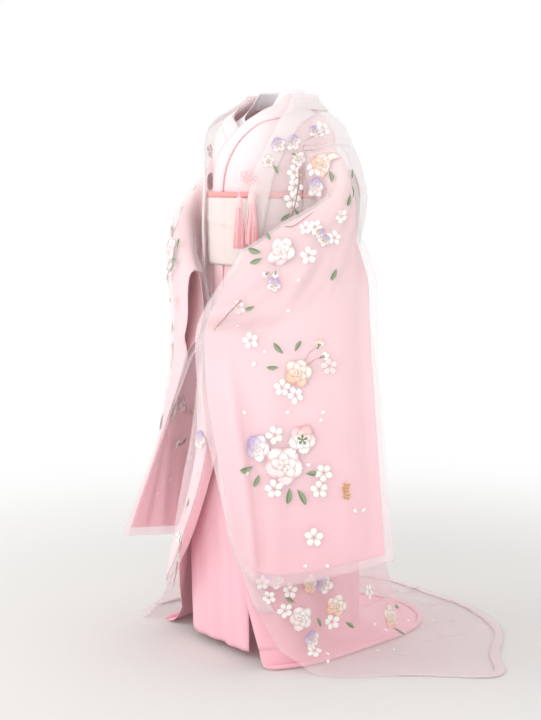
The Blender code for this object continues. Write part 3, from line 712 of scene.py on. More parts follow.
class SleevePanel(Panel):
    """A sleeve: a tall tube round the arm. v is positive on its front layer and negative on its back one."""

    def __init__(self, side: Side, outer: bool) -> None:
        """Keep which sleeve it is.

        Args:
            side: Which arm.
            outer: It is the organza one.
        """
        self.side, self.outer = side, outer
        self.stations = STATIONS[side]
        self.start = -SLIT_EASE if outer else 0.0
        self.end = len(self.stations) - 1 + (CUFF_EASE if outer else 0.0)
        self.room = SLEEVE_EASE if outer else 0.0
        self.form = OVER if outer else UNDER
        self.cache: dict[float, tuple] = {}

    def column(self, station: float) -> tuple[Vector, Vector, Vector, float, float, float]:
        """Upper fold, waist, lower fold, girths and facing at a station.

        Args:
            station: Place along the arm.

        Returns:
            The six readings.
        """
        if station not in self.cache:
            index = range(len(self.stations))

            def value(read: Callable[[Station], float]) -> float:
                """One reading of the table at the station."""
                return cubic(index, [read(row) for row in self.stations], station)

            top = at(*[value(lambda row, k=k: row.top[k]) for k in range(3)]) + Vector((0, 0, self.room))
            middle = at(*[value(lambda row, k=k: row.middle[k]) for k in range(3)])
            low = at(*[value(lambda row, k=k: row.low[k]) for k in range(3)])
            drop = SLEEVE_DROP + CUFF_DROP * station / self.end if self.outer else 0.0
            low += (low - middle).normalized() * drop
            girths = value(lambda row: row.front), value(lambda row: row.back)
            self.cache[station] = (top, middle, low, *girths, value(lambda row: row.turn))
        return self.cache[station]

    def facing(self, station: float, share: float) -> Vector:
        """Which way the front layer faces, turning from the arm's own way to the hanging cloth's.

        Args:
            station: Place along the arm.
            share: Height on the sleeve, from 0 to 1.

        Returns:
            The direction.
        """
        *_, turn = self.column(station)
        turn = math.radians(turn + (LOW_TURN[self.side] - turn) * ease((0.95 - share) / 0.5))
        return Vector((math.sin(turn), -math.cos(turn), 0.0))

    def armhole_point(self, share: float, front: bool) -> Vector:
        """A point just inside the edge of the body's armhole, for a share of the sleeve.

        Args:
            share: Height on the sleeve, from 0 to 1.
            front: It is on the front layer.

        Returns:
            The point.
        """
        heights = self.form.armhole.heights
        inset = 2 * CLOTH + SEAM
        stops = []
        for step in range(len(heights) + 1):
            height = heights[min(step, len(heights) - 1)]
            shrunk = self.form.armhole.half_angle - math.degrees(inset / self.form.radius(90, height))
            height += inset if step == 0 else 0.0
            if step >= len(heights) - 1:
                height -= inset
            shrunk = 0.0 if step == len(heights) else shrunk
            angle = self.side.value * (90 + shrunk if front else 90 - shrunk)
            stops.append(self.form.point(angle, height))
        place = (share - ARMHOLE_SHARES[0]) / (ARMHOLE_SHARES[1] - ARMHOLE_SHARES[0])
        place = min(max(place, 0.0), len(stops) - 1.0)
        k = min(int(place), len(stops) - 2)
        return stops[k].lerp(stops[k + 1], place - k)

    def hanging(self, station: float, share: float, front: bool) -> Vector:
        """A point of the sleeve as it hangs from the arm.

        Args:
            station: Place along the arm.
            share: Height on the sleeve, from 0 to 1.
            front: It is on the front layer.

        Returns:
            The point.
        """
        top, middle, low, front_girth, back_girth, _ = self.column(station)
        stops = (0.0, WAIST_SHARE, 1.0)
        centre = Vector([cubic(stops, (low[k], middle[k], top[k]), share) for k in range(3)])
        slack = 0.008 + 0.010 * share / WAIST_SHARE
        if share >= WAIST_SHARE:
            lean = (share - WAIST_SHARE) / (1 - WAIST_SHARE)
            girth = front_girth if front else back_girth
            slack = (0.018 + (girth - 0.018) * math.sin(math.pi / 2 * min(lean / 0.6, 1.0)))
            slack *= math.sqrt(max(1 - lean**4, 0.0))
        sewn = 1 - ease((share - SEWN_SHARE) / 0.08)
        slack += (CUFF_SEAM_DEPTH - slack) * ease((station - self.end + 1.2) / 1.05) * sewn
        room = self.room * math.sqrt(max(1 - max((share - 0.985) / 0.015, 0.0)**2, 0.0))
        spread = slack + room
        if station > self.end - 0.15:
            spread *= 1 - sewn * ease((station - self.end + 0.15) / 0.15)
        if share < 0.012:
            spread *= math.sqrt(max(1 - (1 - share / 0.012)**2, 0.0))
        u = station * STATION_METRES
        folds = sum(fold.rise(u, share) for fold in SLEEVE_FOLDS[self.side])
        rise = folds + crumple(Vector((u * 1.5, share, 2.0 + self.side.value)), 0.0020)
        rise *= ease((share - 0.005) / 0.05 + 0.4) * ease((1 - share) / 0.04) * ease((station + 0.3) / 0.5)
        return centre + self.facing(station, share) * ((spread if front else -spread) + rise)

    def point(self, u: float, v: float, out: float = 0.0) -> Vector:
        """A point of the sleeve, moved out from its layer.

        Args:
            u: Place across the cloth.
            v: Place along the cloth.
            out: How far it is moved out.

        Returns:
            The point.
        """
        station, share, front = u / STATION_METRES, abs(v), v >= 0
        share = min(share, 1.0)
        t = (station - self.start) / (0.9 - self.start)
        if self.outer and t < 1:
            share -= SLIT_DROP * (1 - ease(t)) * math.exp(-((share - SEWN_SHARE) / 0.05)**2)
        here = self.hanging(station, share, front)
        if t < 1 and share > SEWN_SHARE:
            q, w = ease((share - SEWN_SHARE) / 0.08), ease(t)
            fixed = self.armhole_point(share, front).lerp(here, w)
            here = here.lerp(fixed, q)
        return here + self.facing(station, share) * (out if front else -out) if out else here

    def outward(self, u: float, v: float) -> Vector:
        """Which way the layer faces."""
        return self.facing(u / STATION_METRES, abs(v)) * (1 if v >= 0 else -1)

    def grid(self, steps: int) -> tuple[Grid, list[list[Point2]], list[list[bool]]]:
        """Points of the tube on a fine net, one row for each station.

        Args:
            steps: How many steps there are along the arm.

        Returns:
            The points, their own metres, and which cells have cloth.
        """
        shares = [0.0, .001, .003, .006, .009, .013, .02] + [.02 + .0185 * k for k in range(1, 51)]
        shares += [.955, .965, .974, .981, .987, .992, .996, .9985, 1.0]
        stations = [lerp(self.start, self.end - 0.15, k / steps) for k in range(steps + 1)]
        stations += [self.end - .10, self.end - .05, self.end - .02, self.end]
        places = []
        for station in stations:
            u = station * STATION_METRES
            places.append([(u, share) for share in shares] + [(u, -share) for share in shares[-2:0:-1]])
        return [[self.point(u, v) for u, v in row] for row in places], places, []


def net_faces(places: list[list[Point2]], cells: list[list[bool]], closed: bool, flip: bool = False,
              first: int = 0) -> tuple[list[list[int]], list[Point2]]:
    """Faces of a net of points.

    Args:
        places: Own metres of the points, row by row.
        cells: Which cells have cloth; all of them if empty.
        closed: The last column joins the first.
        flip: Turn the faces over.
        first: Number of the net's first point.

    Returns:
        The faces, and the own metres of their corners.
    """
    width = len(places[0])
    faces, corners = [], []
    for r in range(len(places) - 1):
        for c in range(width if closed else width - 1):
            if cells and not cells[r][c]:
                continue
            after = (c + 1) % width
            face = [(r, c), (r + 1, c), (r + 1, after), (r, after)]
            if flip:
                face = face[::-1]
            faces.append([first + i * width + j for i, j in face])
            corners += [places[i][j] for i, j in face]
    return faces, corners


def new_object(name: str, verts: list[Vector], faces: list[list[int]],
               corners: list[Point2]) -> bpy.types.Object:
    """A mesh object in the scene, with its own metres as the UV map.

    Args:
        name: Its name.
        verts: Its points.
        faces: Its faces.
        corners: Own metres of the corners.

    Returns:
        The object.
    """
    mesh = bpy.data.meshes.new(name)
    mesh.from_pydata(verts, [], faces)
    layer = mesh.uv_layers.new(name="cloth")
    for k, uv in enumerate(corners):
        layer.data[k].uv = uv
    made = bpy.data.objects.new(name, mesh)
    bpy.context.scene.collection.objects.link(made)
    return made


def build_mesh(name: str, rows: Grid, places: list[list[Point2]], cells: list[list[bool]],
               closed: bool = False, flip: bool = False) -> bpy.types.Object:
    """A smooth mesh object from a net of points.

    Args:
        name: Name of the object.
        rows: The points.
        places: Their own metres, kept as the UV map.
        cells: Which cells have cloth; all of them if empty.
        closed: The last column joins the first.
        flip: Turn the faces over.

    Returns:
        The new object, linked to the scene.
    """
    faces, corners = net_faces(places, cells, closed, flip)
    made = new_object(name, [point for row in rows for point in row], faces, corners)
    weld(made.data)
    made.data.shade_smooth()
    return made


def weld(mesh: bpy.types.Mesh) -> None:
    """Join points that fall together and drop loose ones.

    Args:
        mesh: The mesh to clean.
    """
    work = bmesh.new()
    work.from_mesh(mesh)
    loose = [vert for vert in work.verts if not vert.link_faces]
    bmesh.ops.delete(work, geom=loose, context="VERTS")
    bmesh.ops.remove_doubles(work, verts=work.verts, dist=1e-6)
    bmesh.ops.dissolve_degenerate(work, edges=work.edges, dist=1e-6)
    work.to_mesh(mesh)
    work.free()


def thicken(made: bpy.types.Object, thickness: float) -> None:
    """Give a cloth surface its wall on the outer side.

    Args:
        made: The piece.
        thickness: Its wall.
    """
    shell = made.modifiers.new("cloth", "SOLIDIFY")
    shell.thickness = thickness
    shell.offset = 1.0
    shell.use_even_offset = False


def srgb(red: int, green: int, blue: int) -> Colour:
    """Linear colour from display values out of 255.

    Args:
        red: Red.
        green: Green.
        blue: Blue.

    Returns:
        The linear colour.
    """
    def one(value: int) -> float:
        """One channel."""
        share = value / 255
        return share / 12.92 if share <= 0.04045 else ((share + 0.055) / 1.055) ** 2.4

    return one(red), one(green), one(blue)


@dataclass(frozen=True)
class Finish:
    """A cloth finish: its colours from the hem up, its gloss, sheen, weave, how much it covers and the
    painted light it gives off.

    Attributes:
        name: Name of the material.
        slot: The record's material slot; not used.
        stops: Height above the floor and colour, rising.
        roughness: Mean roughness.
        sheen: Strength of the cloth sheen.
        weave: Thread pitch of the weave, in metres.
        relief: Strength of the weave's bump.
        cover: 1 for opaque cloth, less for organza.
        tinted: The colour comes from the mesh's own tint.
        painted_glow: Painted light: emission in the cloth's own colour that lifts its shade, standing in for
            light that comes through the cloth from all round.
    """

    name: str
    slot: str
    stops: tuple[tuple[float, Colour], ...]
    roughness: float = 0.45
    sheen: float = 0.3
    weave: float = 0.0015
    relief: float = 0.15
    cover: float = 1.0
    tinted: bool = False
    painted_glow: float = 0.0


# The pink silk gives off a little painted light, an emission that lifts its shaded folds.
PINK_SILK = Finish(
    "pink_silk_cloth", "pink_silk",
    ((0.0, srgb(240, 182, 194)), (0.30, srgb(240, 186, 197)), (0.75, srgb(240, 202, 208)),
     (1.10, srgb(234, 196, 200)), (1.42, srgb(244, 222, 223))), roughness=0.40, sheen=0.25, painted_glow=0.05)
ORGANZA_CLOTH = Finish(
    "organza_cloth", "organza",
    ((0.0, srgb(250, 222, 227)), (0.5, srgb(250, 234, 237)), (1.4, srgb(248, 240, 240))),
    roughness=0.35, sheen=0.8, weave=0.0011, relief=0.10, cover=0.20)
ORGANZA_EDGE = Finish(
    "organza_edge", "organza", ((0.0, srgb(250, 230, 233)), (1.4, srgb(250, 243, 243))),
    roughness=0.35, sheen=0.8, weave=0.0011, relief=0.10, cover=0.40)
WHITE_SILK = Finish(
    "white_silk_cloth", "white_silk", ((0.0, srgb(246, 246, 249)), (1.4, srgb(248, 248, 251))),
    roughness=0.5, weave=0.0010)
OBI_SILK = Finish("obi_cloth", "obi_silk", ((0.9, srgb(224, 210, 205)), (1.25, srgb(228, 213, 210))),
                  roughness=0.38, weave=0.0024, relief=0.5)
CORAL_SILK = Finish(
    "coral_silk_cloth", "coral_silk", ((0.9, srgb(238, 146, 144)), (1.3, srgb(240, 160, 158))),
    roughness=0.45, weave=0.0012, relief=0.3)
# The tassel thread gives off painted light, an emission that lifts its shade.
TASSEL_SILK = Finish(
    "tassel_thread", "coral_silk", ((1.05, srgb(252, 196, 199)), (1.24, srgb(252, 212, 212))),
    roughness=0.5, sheen=0.6, weave=0.0009, relief=0.4, painted_glow=0.10)
THREAD = Finish(
    "embroidery_thread", "organza", ((0.0, (1, 1, 1)), (1.0, (1, 1, 1))),
    roughness=0.42, sheen=0.4, weave=0.0007, relief=0.5, tinted=True)


class ClothMaterial:
    """Builds the node material of one finish."""

    def __init__(self, finish: Finish) -> None:
        """Start from an empty Principled material.

        Args:
            finish: What the material is like.
        """
        self.finish = finish
        self.material = bpy.data.materials.new(finish.name)
        self.material.use_nodes = True
        self.tree = self.material.node_tree
        self.shader = self.tree.nodes["Principled BSDF"]

    def node(self, kind: str, **settings: object) -> bpy.types.Node:
        """A new node with some settings.

        Args:
            kind: Its type.
            settings: Its settings by name.

        Returns:
            The node.
        """
        made = self.tree.nodes.new(kind)
        for key, value in settings.items():
            setattr(made, key, value)
        return made

    def link(self, source: bpy.types.NodeSocket, target: bpy.types.NodeSocket) -> None:
        """Join two sockets."""
        self.tree.links.new(source, target)

    def height_colour(self) -> bpy.types.NodeSocket:
        """Colour by height above the floor.

        Returns:
            The colour socket.
        """
        geometry = self.node("ShaderNodeNewGeometry")
        parts = self.node("ShaderNodeSeparateXYZ")
        self.link(geometry.outputs["Position"], parts.inputs[0])
        stops = self.finish.stops
        low, high = stops[0][0], stops[-1][0]
        span = self.node("ShaderNodeMapRange")
        span.inputs["From Min"].default_value = low - SHOULDER_HEIGHT
        span.inputs["From Max"].default_value = high - SHOULDER_HEIGHT
        self.link(parts.outputs["Z"], span.inputs["Value"])
        ramp = self.node("ShaderNodeValToRGB")
        ramp.color_ramp.interpolation = "EASE" if len(stops) == 2 else "LINEAR"
        places = [(height - low) / (high - low) for height, _ in stops]
        for k, place in enumerate(places):
            element = ramp.color_ramp.elements[k] if k < 2 else ramp.color_ramp.elements.new(place)
            element.position = place
        for place, (_, colour) in zip(places, stops):
            nearest = min(ramp.color_ramp.elements, key=lambda e, p=place: abs(e.position - p))
            nearest.color = (*colour, 1.0)
        self.link(span.outputs["Result"], ramp.inputs["Fac"])
        return ramp.outputs["Color"]

    def varied(self, colour: bpy.types.NodeSocket) -> bpy.types.NodeSocket:
        """The colour with slow uneven variation, as in dyed cloth.

        Args:
            colour: The plain colour.

        Returns:
            The varied colour.
        """
        place = self.node("ShaderNodeNewGeometry")
        cloud = self.node("ShaderNodeTexNoise")
        cloud.inputs["Scale"].default_value = 9.0
        cloud.inputs["Detail"].default_value = 3.0
        self.link(place.outputs["Position"], cloud.inputs["Vector"])
        level = self.node("ShaderNodeMapRange")
        level.inputs["To Min"].default_value = 0.975
        level.inputs["To Max"].default_value = 1.02
        self.link(cloud.outputs["Fac"], level.inputs["Value"])
        mix = self.node("ShaderNodeMix", data_type="RGBA", blend_type="MULTIPLY")
        mix.inputs["Factor"].default_value = 1.0
        self.link(colour, mix.inputs["A"])
        self.link(level.outputs["Result"], mix.inputs["B"])
        gloss = self.node("ShaderNodeMapRange")
        gloss.inputs["To Min"].default_value = self.finish.roughness - 0.07
        gloss.inputs["To Max"].default_value = self.finish.roughness + 0.07
        self.link(cloud.outputs["Fac"], gloss.inputs["Value"])
        self.link(gloss.outputs["Result"], self.shader.inputs["Roughness"])
        return mix.outputs["Result"]

    def weave(self) -> None:
        """Threads crossing in the cloth's own metres, as bump."""
        uv = self.node("ShaderNodeUVMap", uv_map="cloth")
        heights = []
        for direction in ("X", "Y"):
            wave = self.node("ShaderNodeTexWave", bands_direction=direction, wave_profile="SIN")
            wave.inputs["Scale"].default_value = 0.314 / self.finish.weave
            wave.inputs["Distortion"].default_value = 0.6
            self.link(uv.outputs["UV"], wave.inputs["Vector"])
            heights.append(wave.outputs["Fac"])
        both = self.node("ShaderNodeMath", operation="ADD")
        self.link(heights[0], both.inputs[0])
        self.link(heights[1], both.inputs[1])
        fine = self.node("ShaderNodeTexNoise")
        fine.inputs["Scale"].default_value = 70.0
        self.link(uv.outputs["UV"], fine.inputs["Vector"])
        total = self.node("ShaderNodeMath", operation="MULTIPLY_ADD")
        total.inputs[1].default_value = 1.6
        self.link(fine.outputs["Fac"], total.inputs[0])
        self.link(both.outputs[0], total.inputs[2])
        bump = self.node("ShaderNodeBump")
        bump.inputs["Strength"].default_value = self.finish.relief
        bump.inputs["Distance"].default_value = 0.0004
        self.link(total.outputs[0], bump.inputs["Height"])
        self.link(bump.outputs["Normal"], self.shader.inputs["Normal"])

    def build(self) -> bpy.types.Material:
        """Join the nodes up and return the material.

        Returns:
            The material.
        """
        if self.finish.tinted:
            tint = self.node("ShaderNodeAttribute", attribute_name="tint")
            colour = tint.outputs["Color"]
        else:
            colour = self.height_colour()
        shade = self.varied(colour)
        self.link(shade, self.shader.inputs["Base Color"])
        self.weave()
        # Painted light: the cloth's own colour is also given off as emission, which lifts its shade.
        self.link(shade, self.shader.inputs["Emission Color"])
        self.shader.inputs["Emission Strength"].default_value = self.finish.painted_glow
        self.shader.inputs["Sheen Weight"].default_value = self.finish.sheen
        self.shader.inputs["Sheen Roughness"].default_value = 0.4
        self.shader.inputs["Specular IOR Level"].default_value = 0.35
        self.shader.inputs["Alpha"].default_value = self.finish.cover
        return self.material


@lru_cache(maxsize=None)
def cloth_material(finish: Finish) -> bpy.types.Material:
    """The material of a finish, made once."""
    return ClothMaterial(finish).build()


def dress(made: bpy.types.Object, finish: Finish, *nodes: str) -> bpy.types.Object:
    """Give a piece its finish and its body, and let it stand for solids.

    Args:
        made: The piece.
        finish: Its finish.
        nodes: The solids that it replaces.

    Returns:
        The piece.
    """
    made.data.materials.append(cloth_material(finish))
    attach(made, "root")
    if nodes:
        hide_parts(*nodes)
    LOG.info("made %s in %s", made.name, finish.name)
    return made


class Cut(NamedTuple):
    """Flat size of a sheet of cloth before it was sewn and worn."""

    width: float
    length: float
    area: float | None = None


def sew(made: bpy.types.Object, finish: Finish, node: str, wall: float) -> None:
    """Give a sheet of cloth its wall and its finish.

    Args:
        made: The piece.
        finish: Its finish.
        node: The solid that it replaces.
        wall: Its thickness.
    """
    thicken(made, wall)
    dress(made, finish, node)


@dataclass
class Garment:
    """Builds the pieces of the worn robes.

    Attributes:
        white_low: Height of the white band's lower ends.
        white_width: Width of the white band.
        white_hidden: How much of it lies under the collar.
        inner_angles: Directions of the inner front's waves.
        inner_radii: Its radius at the floor in those directions.
        hem_sides: Corners of the padded hem's cross-section.
        panels: The shaped cloth of each body width and sleeve.
    """

    white_low: float = 1.27
    white_width: float = 0.045
    white_hidden: float = 0.016
    inner_angles: tuple[float, ...] = (-55, -45, -20, 5, 28)
    inner_radii: tuple[float, ...] = (.230, .205, .172, .160, .175)
    hem_sides: int = 14
    panels: dict[str, Panel] = field(default_factory=dict)

    def __post_init__(self) -> None:
        """Make the panels."""
        for side in Side:
            word = side.name.lower()
            self.panels[f"under_body_{word}"] = BodyPanel(UNDER, side, under_lift, BODY_FOLDS, True)
            folds = BODY_FOLDS + OVER_FOLDS
            self.panels[f"over_body_{word}"] = BodyPanel(OVER, side, over_lift, folds, False)
            self.panels[f"under_sleeve_{word}"] = SleevePanel(side, outer=False)
            self.panels[f"over_sleeve_{word}"] = SleevePanel(side, outer=True)

    def body(self, name: str, finish: Finish) -> None:
        """One body width of a robe.

        Args:
            name: Name of the solid.
            finish: Its finish.
        """
        panel = self.panels[name]
        rows, places, cells = panel.grid(5 if finish is ORGANZA_CLOTH else 6, 30)
        made = build_mesh("cloth_" + name, rows, places, cells, flip=name.endswith("right"))
        sew(made, finish, name, ORGANZA if finish is ORGANZA_CLOTH else CLOTH)

    def sleeve(self, name: str, finish: Finish) -> None:
        """One sleeve, a tube round the arm.

        Args:
            name: Name of the solid.
            finish: Its finish.
        """
        panel = self.panels[name]
        rows, places, _ = panel.grid(64)
        made = build_mesh("cloth_" + name, rows, places, [], closed=True, flip=name.endswith("left"))
        sew(made, finish, name, ORGANZA if finish is ORGANZA_CLOTH else CLOTH)

    def collar(self, name: str, form: RobeForm, low: float, finish: Finish, panel_name: str) -> None:
        """A folded band along both front edges and round the nape.

        Args:
            name: Name of the solid.
            form: The robe it is sewn on.
            low: Height of its lower ends.
            finish: Its finish.
            panel_name: First part of the name of the panels under it.
        """
        parts = 6
        rows, places, cells = [], [], []
        heights = [height for height in form.rows if height >= low]
        for k, height in enumerate(refine(heights, parts)):
            row, place = [], []
            upper = heights[min(k // parts, len(heights) - 1)]
            lower = heights[min(k // parts + 1, len(heights) - 1)]
            share = (upper - height) / (upper - lower) if upper > lower else 0.0
            for side in (Side.LEFT, Side.RIGHT):
                first, second = form.directions(side, upper), form.directions(side, lower)
                angles = [lerp(a, b, share) for a, b in zip(first, second)]
                angles[0], angles[1] = form.edge(height, side), form.edge(height, side, collar=True)
                angles[-1] = side.value * 180
                panel = self.panels[f"{panel_name}_{side.name.lower()}"]
                fine = refine(angles, parts)
                line = []
                for j, angle in enumerate(fine):
                    puff = 0.0016 * math.sin(math.pi * min(j / parts, 1.0)) if j <= parts else 0.0
                    out = CLOTH + COLLAR_GAP + puff
                    u = angle * TURN_METRES
                    line.append((panel.point(u, height, out), (u, height)))
                line = line if side is Side.LEFT else line[-2::-1]
                row += [item[0] for item in line]
                place += [item[1] for item in line]
            rows.append(row)
            places.append(place)
            last = len(row) - 1
            cells.append([lower >= NAPE_BOTTOM or c < parts or c >= last - parts for c in range(last)])
        made = build_mesh("cloth_" + name, rows, places, cells)
        sew(made, finish, name, ORGANZA if finish is ORGANZA_EDGE else CLOTH)

    def white_collar(self) -> None:
        """The white band that shows inside the neck."""
        low, width, shift = self.white_low, self.white_width, self.white_hidden
        highest = UNDER.edges[0].height
        climb = [lerp(low, highest, k / 30) for k in range(31)]
        stops = [(height, UNDER.edge(height, Side.LEFT)) for height in climb]
        start, end = UNDER.edge(highest, Side.LEFT), 360 + UNDER.edge(highest, Side.RIGHT)
        stops += [(highest, lerp(start, end, k / 40)) for k in range(1, 40)]
        drop = [lerp(highest, low, k / 30) for k in range(31)]
        stops += [(height, 360 + UNDER.edge(height, Side.RIGHT)) for height in drop]
        rows, places = [], []
        length = 0.0
        for k, (height, angle) in enumerate(stops):
            before, after = stops[max(k - 1, 0)], stops[min(k + 1, len(stops) - 1)]
            here = UNDER.surface(angle, height)
            along = (UNDER.surface(after[1], after[0]) - UNDER.surface(before[1], before[0])).normalized()
            length += (here - UNDER.surface(before[1], before[0])).length
            across_step = UNDER.surface(angle + 1, height) - here
            up_step = UNDER.surface(angle, height + 0.004) - UNDER.surface(angle, height - 0.004)
            away = along.cross(across_step.cross(up_step).normalized())
            out = lerp(-0.0105, -0.0180, ease((k / (len(stops) - 1) - 0.4) / 0.2))
            row = []
            for step in range(9):
                distance = width * step / 8 - shift
                degrees = distance * away.dot(across_step) / across_step.length_squared
                rise = distance * away.dot(up_step) / up_step.length_squared * 0.008
                row.append(UNDER.point(angle + degrees, height + rise, out))
            rows.append(row)
            places.append([(width * step / 8, length) for step in range(9)])
        made = build_mesh("cloth_white_collar", rows, places, [], flip=True)
        sew(made, WHITE_SILK, "white_collar", CLOTH)

    def inner_front(self) -> None:
        """The front width of the under-robe behind the parted front edges."""
        angles, radii = self.inner_angles, self.inner_radii
        rows, places = [], []
        for height in [lerp(0.700, 0.022, k / 60) for k in range(61)]:
            row, place = [], []
            for k in range(57):
                angle = lerp(angles[0], angles[-1], k / 56)
                down = ease((0.70 - height) / 0.67)
                waist = UNDER.radius(angle, height) - 0.014
                wave = 0.006 * math.sin(math.radians(angle) * 6.0 + 1.2 * height) * down
                wave += 0.003 * math.sin(math.radians(angle) * 15.0 + 3.0 * height + 1.0) * down
                radius = lerp(waist, cubic(angles, radii, angle) + wave, down)
                row.append(polar(angle, radius - 0.002 * down, height))
                place.append((angle * TURN_METRES, height))
            rows.append(row)
            places.append(place)
        made = build_mesh("cloth_under_inner_front", rows, places, [])
        sew(made, PINK_SILK, "under_inner_front", CLOTH)

    def hem_roll(self, side: Side) -> None:
        """The padded hem of the silk train.

        Args:
            side: Which side of the robe.
        """
        word = side.name.lower()
        panel = self.panels["under_body_" + word]
        angles = refine(UNDER.directions(side, FOOT_HEIGHT), 8)
        places = [panel.point(angle * TURN_METRES, FOOT_HEIGHT - TRAIN_METRES) for angle in angles]
        if side is Side.RIGHT:
            places = places[::-1]
        rows, uvs = [], []
        length = 0.0
        for k, place in enumerate(places):
            along = (places[min(k + 1, len(places) - 1)] - places[max(k - 1, 0)])
            along.z = 0
            along.normalize()
            beyond = Vector((along.y, -along.x, 0.0))
            length += (place - places[max(k - 1, 0)]).length
            inner = place + beyond * (HEM_ROLL + CLOTH)
            radius = HEM_ROLL * (1 - 0.10 * (0.5 + 0.5 * noise.noise(place * 14)))
            radius *= ease((k + 0.6) / 3) * ease((len(places) - 0.4 - k) / 3)
            centre = Vector((inner.x, inner.y, FLOOR_GAP + HEM_ROLL - SHOULDER_HEIGHT))
            turns = [math.tau * step / self.hem_sides for step in range(self.hem_sides)]
            rows.append([centre + beyond * (radius * math.cos(t)) + Vector((0, 0, radius * math.sin(t)))
                         for t in turns])
            uvs.append([(length, radius * t) for t in turns])
        made = build_mesh("padded_under_hem_" + word, rows, uvs, [], closed=True)
        dress(made, PINK_SILK, "under_hem_" + word)

    def hem_band(self, side: Side) -> None:
        """The doubled band at the hem of the organza.

        Args:
            side: Which side of the robe.
        """
        word = side.name.lower()
        over = self.panels["over_body_" + word]
        angles = refine(OVER.directions(side, FOOT_HEIGHT)[2:], 8)
        rows, uvs = [], []
        for angle in angles:
            around = angle - 360 if side is Side.LEFT else angle
            foot, hem = OVER.surface(around, FOOT_HEIGHT), OVER.hem_point(around)
            band = 1 - min(HEM_BAND / math.hypot(hem[0] - foot.x, hem[1] - foot.y), 0.75)
            row, uv = [], []
            for step in range(5):
                share = lerp(band, 1.0, step / 4)
                v = FOOT_HEIGHT - TRAIN_METRES * share
                row.append(over.point(angle * TURN_METRES, v, 0.0016))
                uv.append((angle * TURN_METRES, v))
            rows.append(row)
            uvs.append(uv)
        made = build_mesh("cloth_over_hem_" + word, rows, uvs, [], flip=side is Side.LEFT)
        sew(made, ORGANZA_EDGE, "over_hem_" + word, ORGANZA)

    def build(self) -> None:
        """Make every cloth piece."""
        for side in Side:
            word = side.name.lower()
            self.body(f"under_body_{word}", PINK_SILK)
            self.body(f"over_body_{word}", ORGANZA_CLOTH)
            self.sleeve(f"under_sleeve_{word}", PINK_SILK)
            self.sleeve(f"over_sleeve_{word}", ORGANZA_CLOTH)
            self.hem_roll(side)
            self.hem_band(side)
        self.inner_front()
        self.collar("under_collar", UNDER, 0.90, PINK_SILK, "under_body")
        self.collar("over_collar", OVER, 0.15, ORGANZA_EDGE, "over_body")
        self.white_collar()


@dataclass(frozen=True)
class Obi:
    """The obi, the sash above it and the loop tied behind.

    Attributes:
        top: Height of the obi's upper edge.
        bottom: Height of its lower edge.
        out: How far it stands off the under-robe.
        wall: Thickness of its cloth.
        sash_top: Height of the sash's upper edge.
        sash_bottom: Height of its lower edge, behind the obi.
        sash_wall: Thickness of its cloth.
        knot_half: Half width of the loop.
        knot_wall: Thickness of its cloth.
        loop: Distance behind the body's middle and height of points round the loop.
    """

    top: float = 1.182
    bottom: float = 1.012
    out: float = 0.0183
    wall: float = 0.0020
    sash_top: float = 1.196
    sash_bottom: float = 1.156
    sash_wall: float = 0.0009
    knot_half: float = 0.118
    knot_wall: float = 0.0022
    loop: tuple[Point2, ...] = ((.1560, 1.080), (.1760, 1.072), (.1880, 1.120), (.1920, 1.190),
                                (.1740, 1.236), (.1590, 1.248), (.1540, 1.200))

    def belt(self) -> None:
        """The obi round the waist, with the edge of its last turn running across it."""
        rows, places = [], []
        for height in [lerp(self.top, self.bottom, k / 34) for k in range(35)]:
            row, place = [], []
            for k in range(180):
                angle = 2.0 * k
                crossing = 1.150 - 0.035 * math.cos(math.radians(angle - 20))
                wrap = 0.0022 * math.exp(-((height - crossing) / 0.006)**2)
                edge = min(height - self.bottom, self.top - height)
                roll = -0.0014 * (1 - ease(edge / 0.006))
                ripple = crumple(Vector((angle * TURN_METRES, height, 4.0)), 0.0010)
                row.append(UNDER.point(angle, height, self.out + wrap + roll + ripple))
                place.append((angle * TURN_METRES, height))
            rows.append(row)
            places.append(place)
        made = build_mesh("cloth_obi", rows, places, [], closed=True)
        sew(made, OBI_SILK, "obi", self.wall)

    def sash(self) -> None:
        """The gathered coral sash, tucked behind the obi's upper edge."""
        rows, places = [], []
        for height in [lerp(self.sash_top, self.sash_bottom, k / 22) for k in range(23)]:
            row, place = [], []
            for k in range(240):
                angle = 1.5 * k
                turn = math.radians(angle)
                above = ease((height - 1.181) / 0.006)
                sway = 2.0 * math.sin(3 * turn) + 1.4 * math.sin(7 * turn + 1)
                gather = 0.0011 * math.sin(height * 900 + sway)
                gather *= 0.3 + 0.7 * above
                out = 0.0142 + above * 0.0052 * math.sqrt(max(1 - ((height - 1.189) / 0.0085)**2, 0.0))
                row.append(UNDER.point(angle, height, out + gather * above))
                place.append((angle * TURN_METRES, height))
            rows.append(row)
            places.append(place)
        made = build_mesh("cloth_obi_sash", rows, places, [], closed=True)
        sew(made, CORAL_SILK, "obi_sash", self.sash_wall)

    def knot(self) -> None:
        """The tied end of the obi: one wide loop, open at both ends."""
        count = len(self.loop)
        index = list(range(-2, count + 3))
        backs = [self.loop[k % count][0] for k in index]
        heights = [self.loop[k % count][1] for k in index]
        rows, places = [], []
        for k in range(41):
            share = k / 20 - 1
            row, place = [], []
            for step in range(70):
                spot = step * count / 70
                back, height = cubic(index, backs, spot), cubic(index, heights, spot)
                crease = 0.0016 * math.sin(share * 9 + height * 30) * math.sin(math.pi * spot / count)
                back = 0.152 + (back + crease - 0.152) * (1 - 0.10 * share**2)
                row.append(at(self.knot_half * share, max(back, 0.1535), height))
                place.append((self.knot_half * share, step * 0.0065))
            rows.append(row)
            places.append(place)
        made = build_mesh("cloth_obi_knot", rows, places, [], closed=True, flip=True)
        sew(made, OBI_SILK, "obi_knot", self.knot_wall)

    def build(self) -> None:
        """Make the three pieces."""
        self.belt()
        self.sash()
        self.knot()


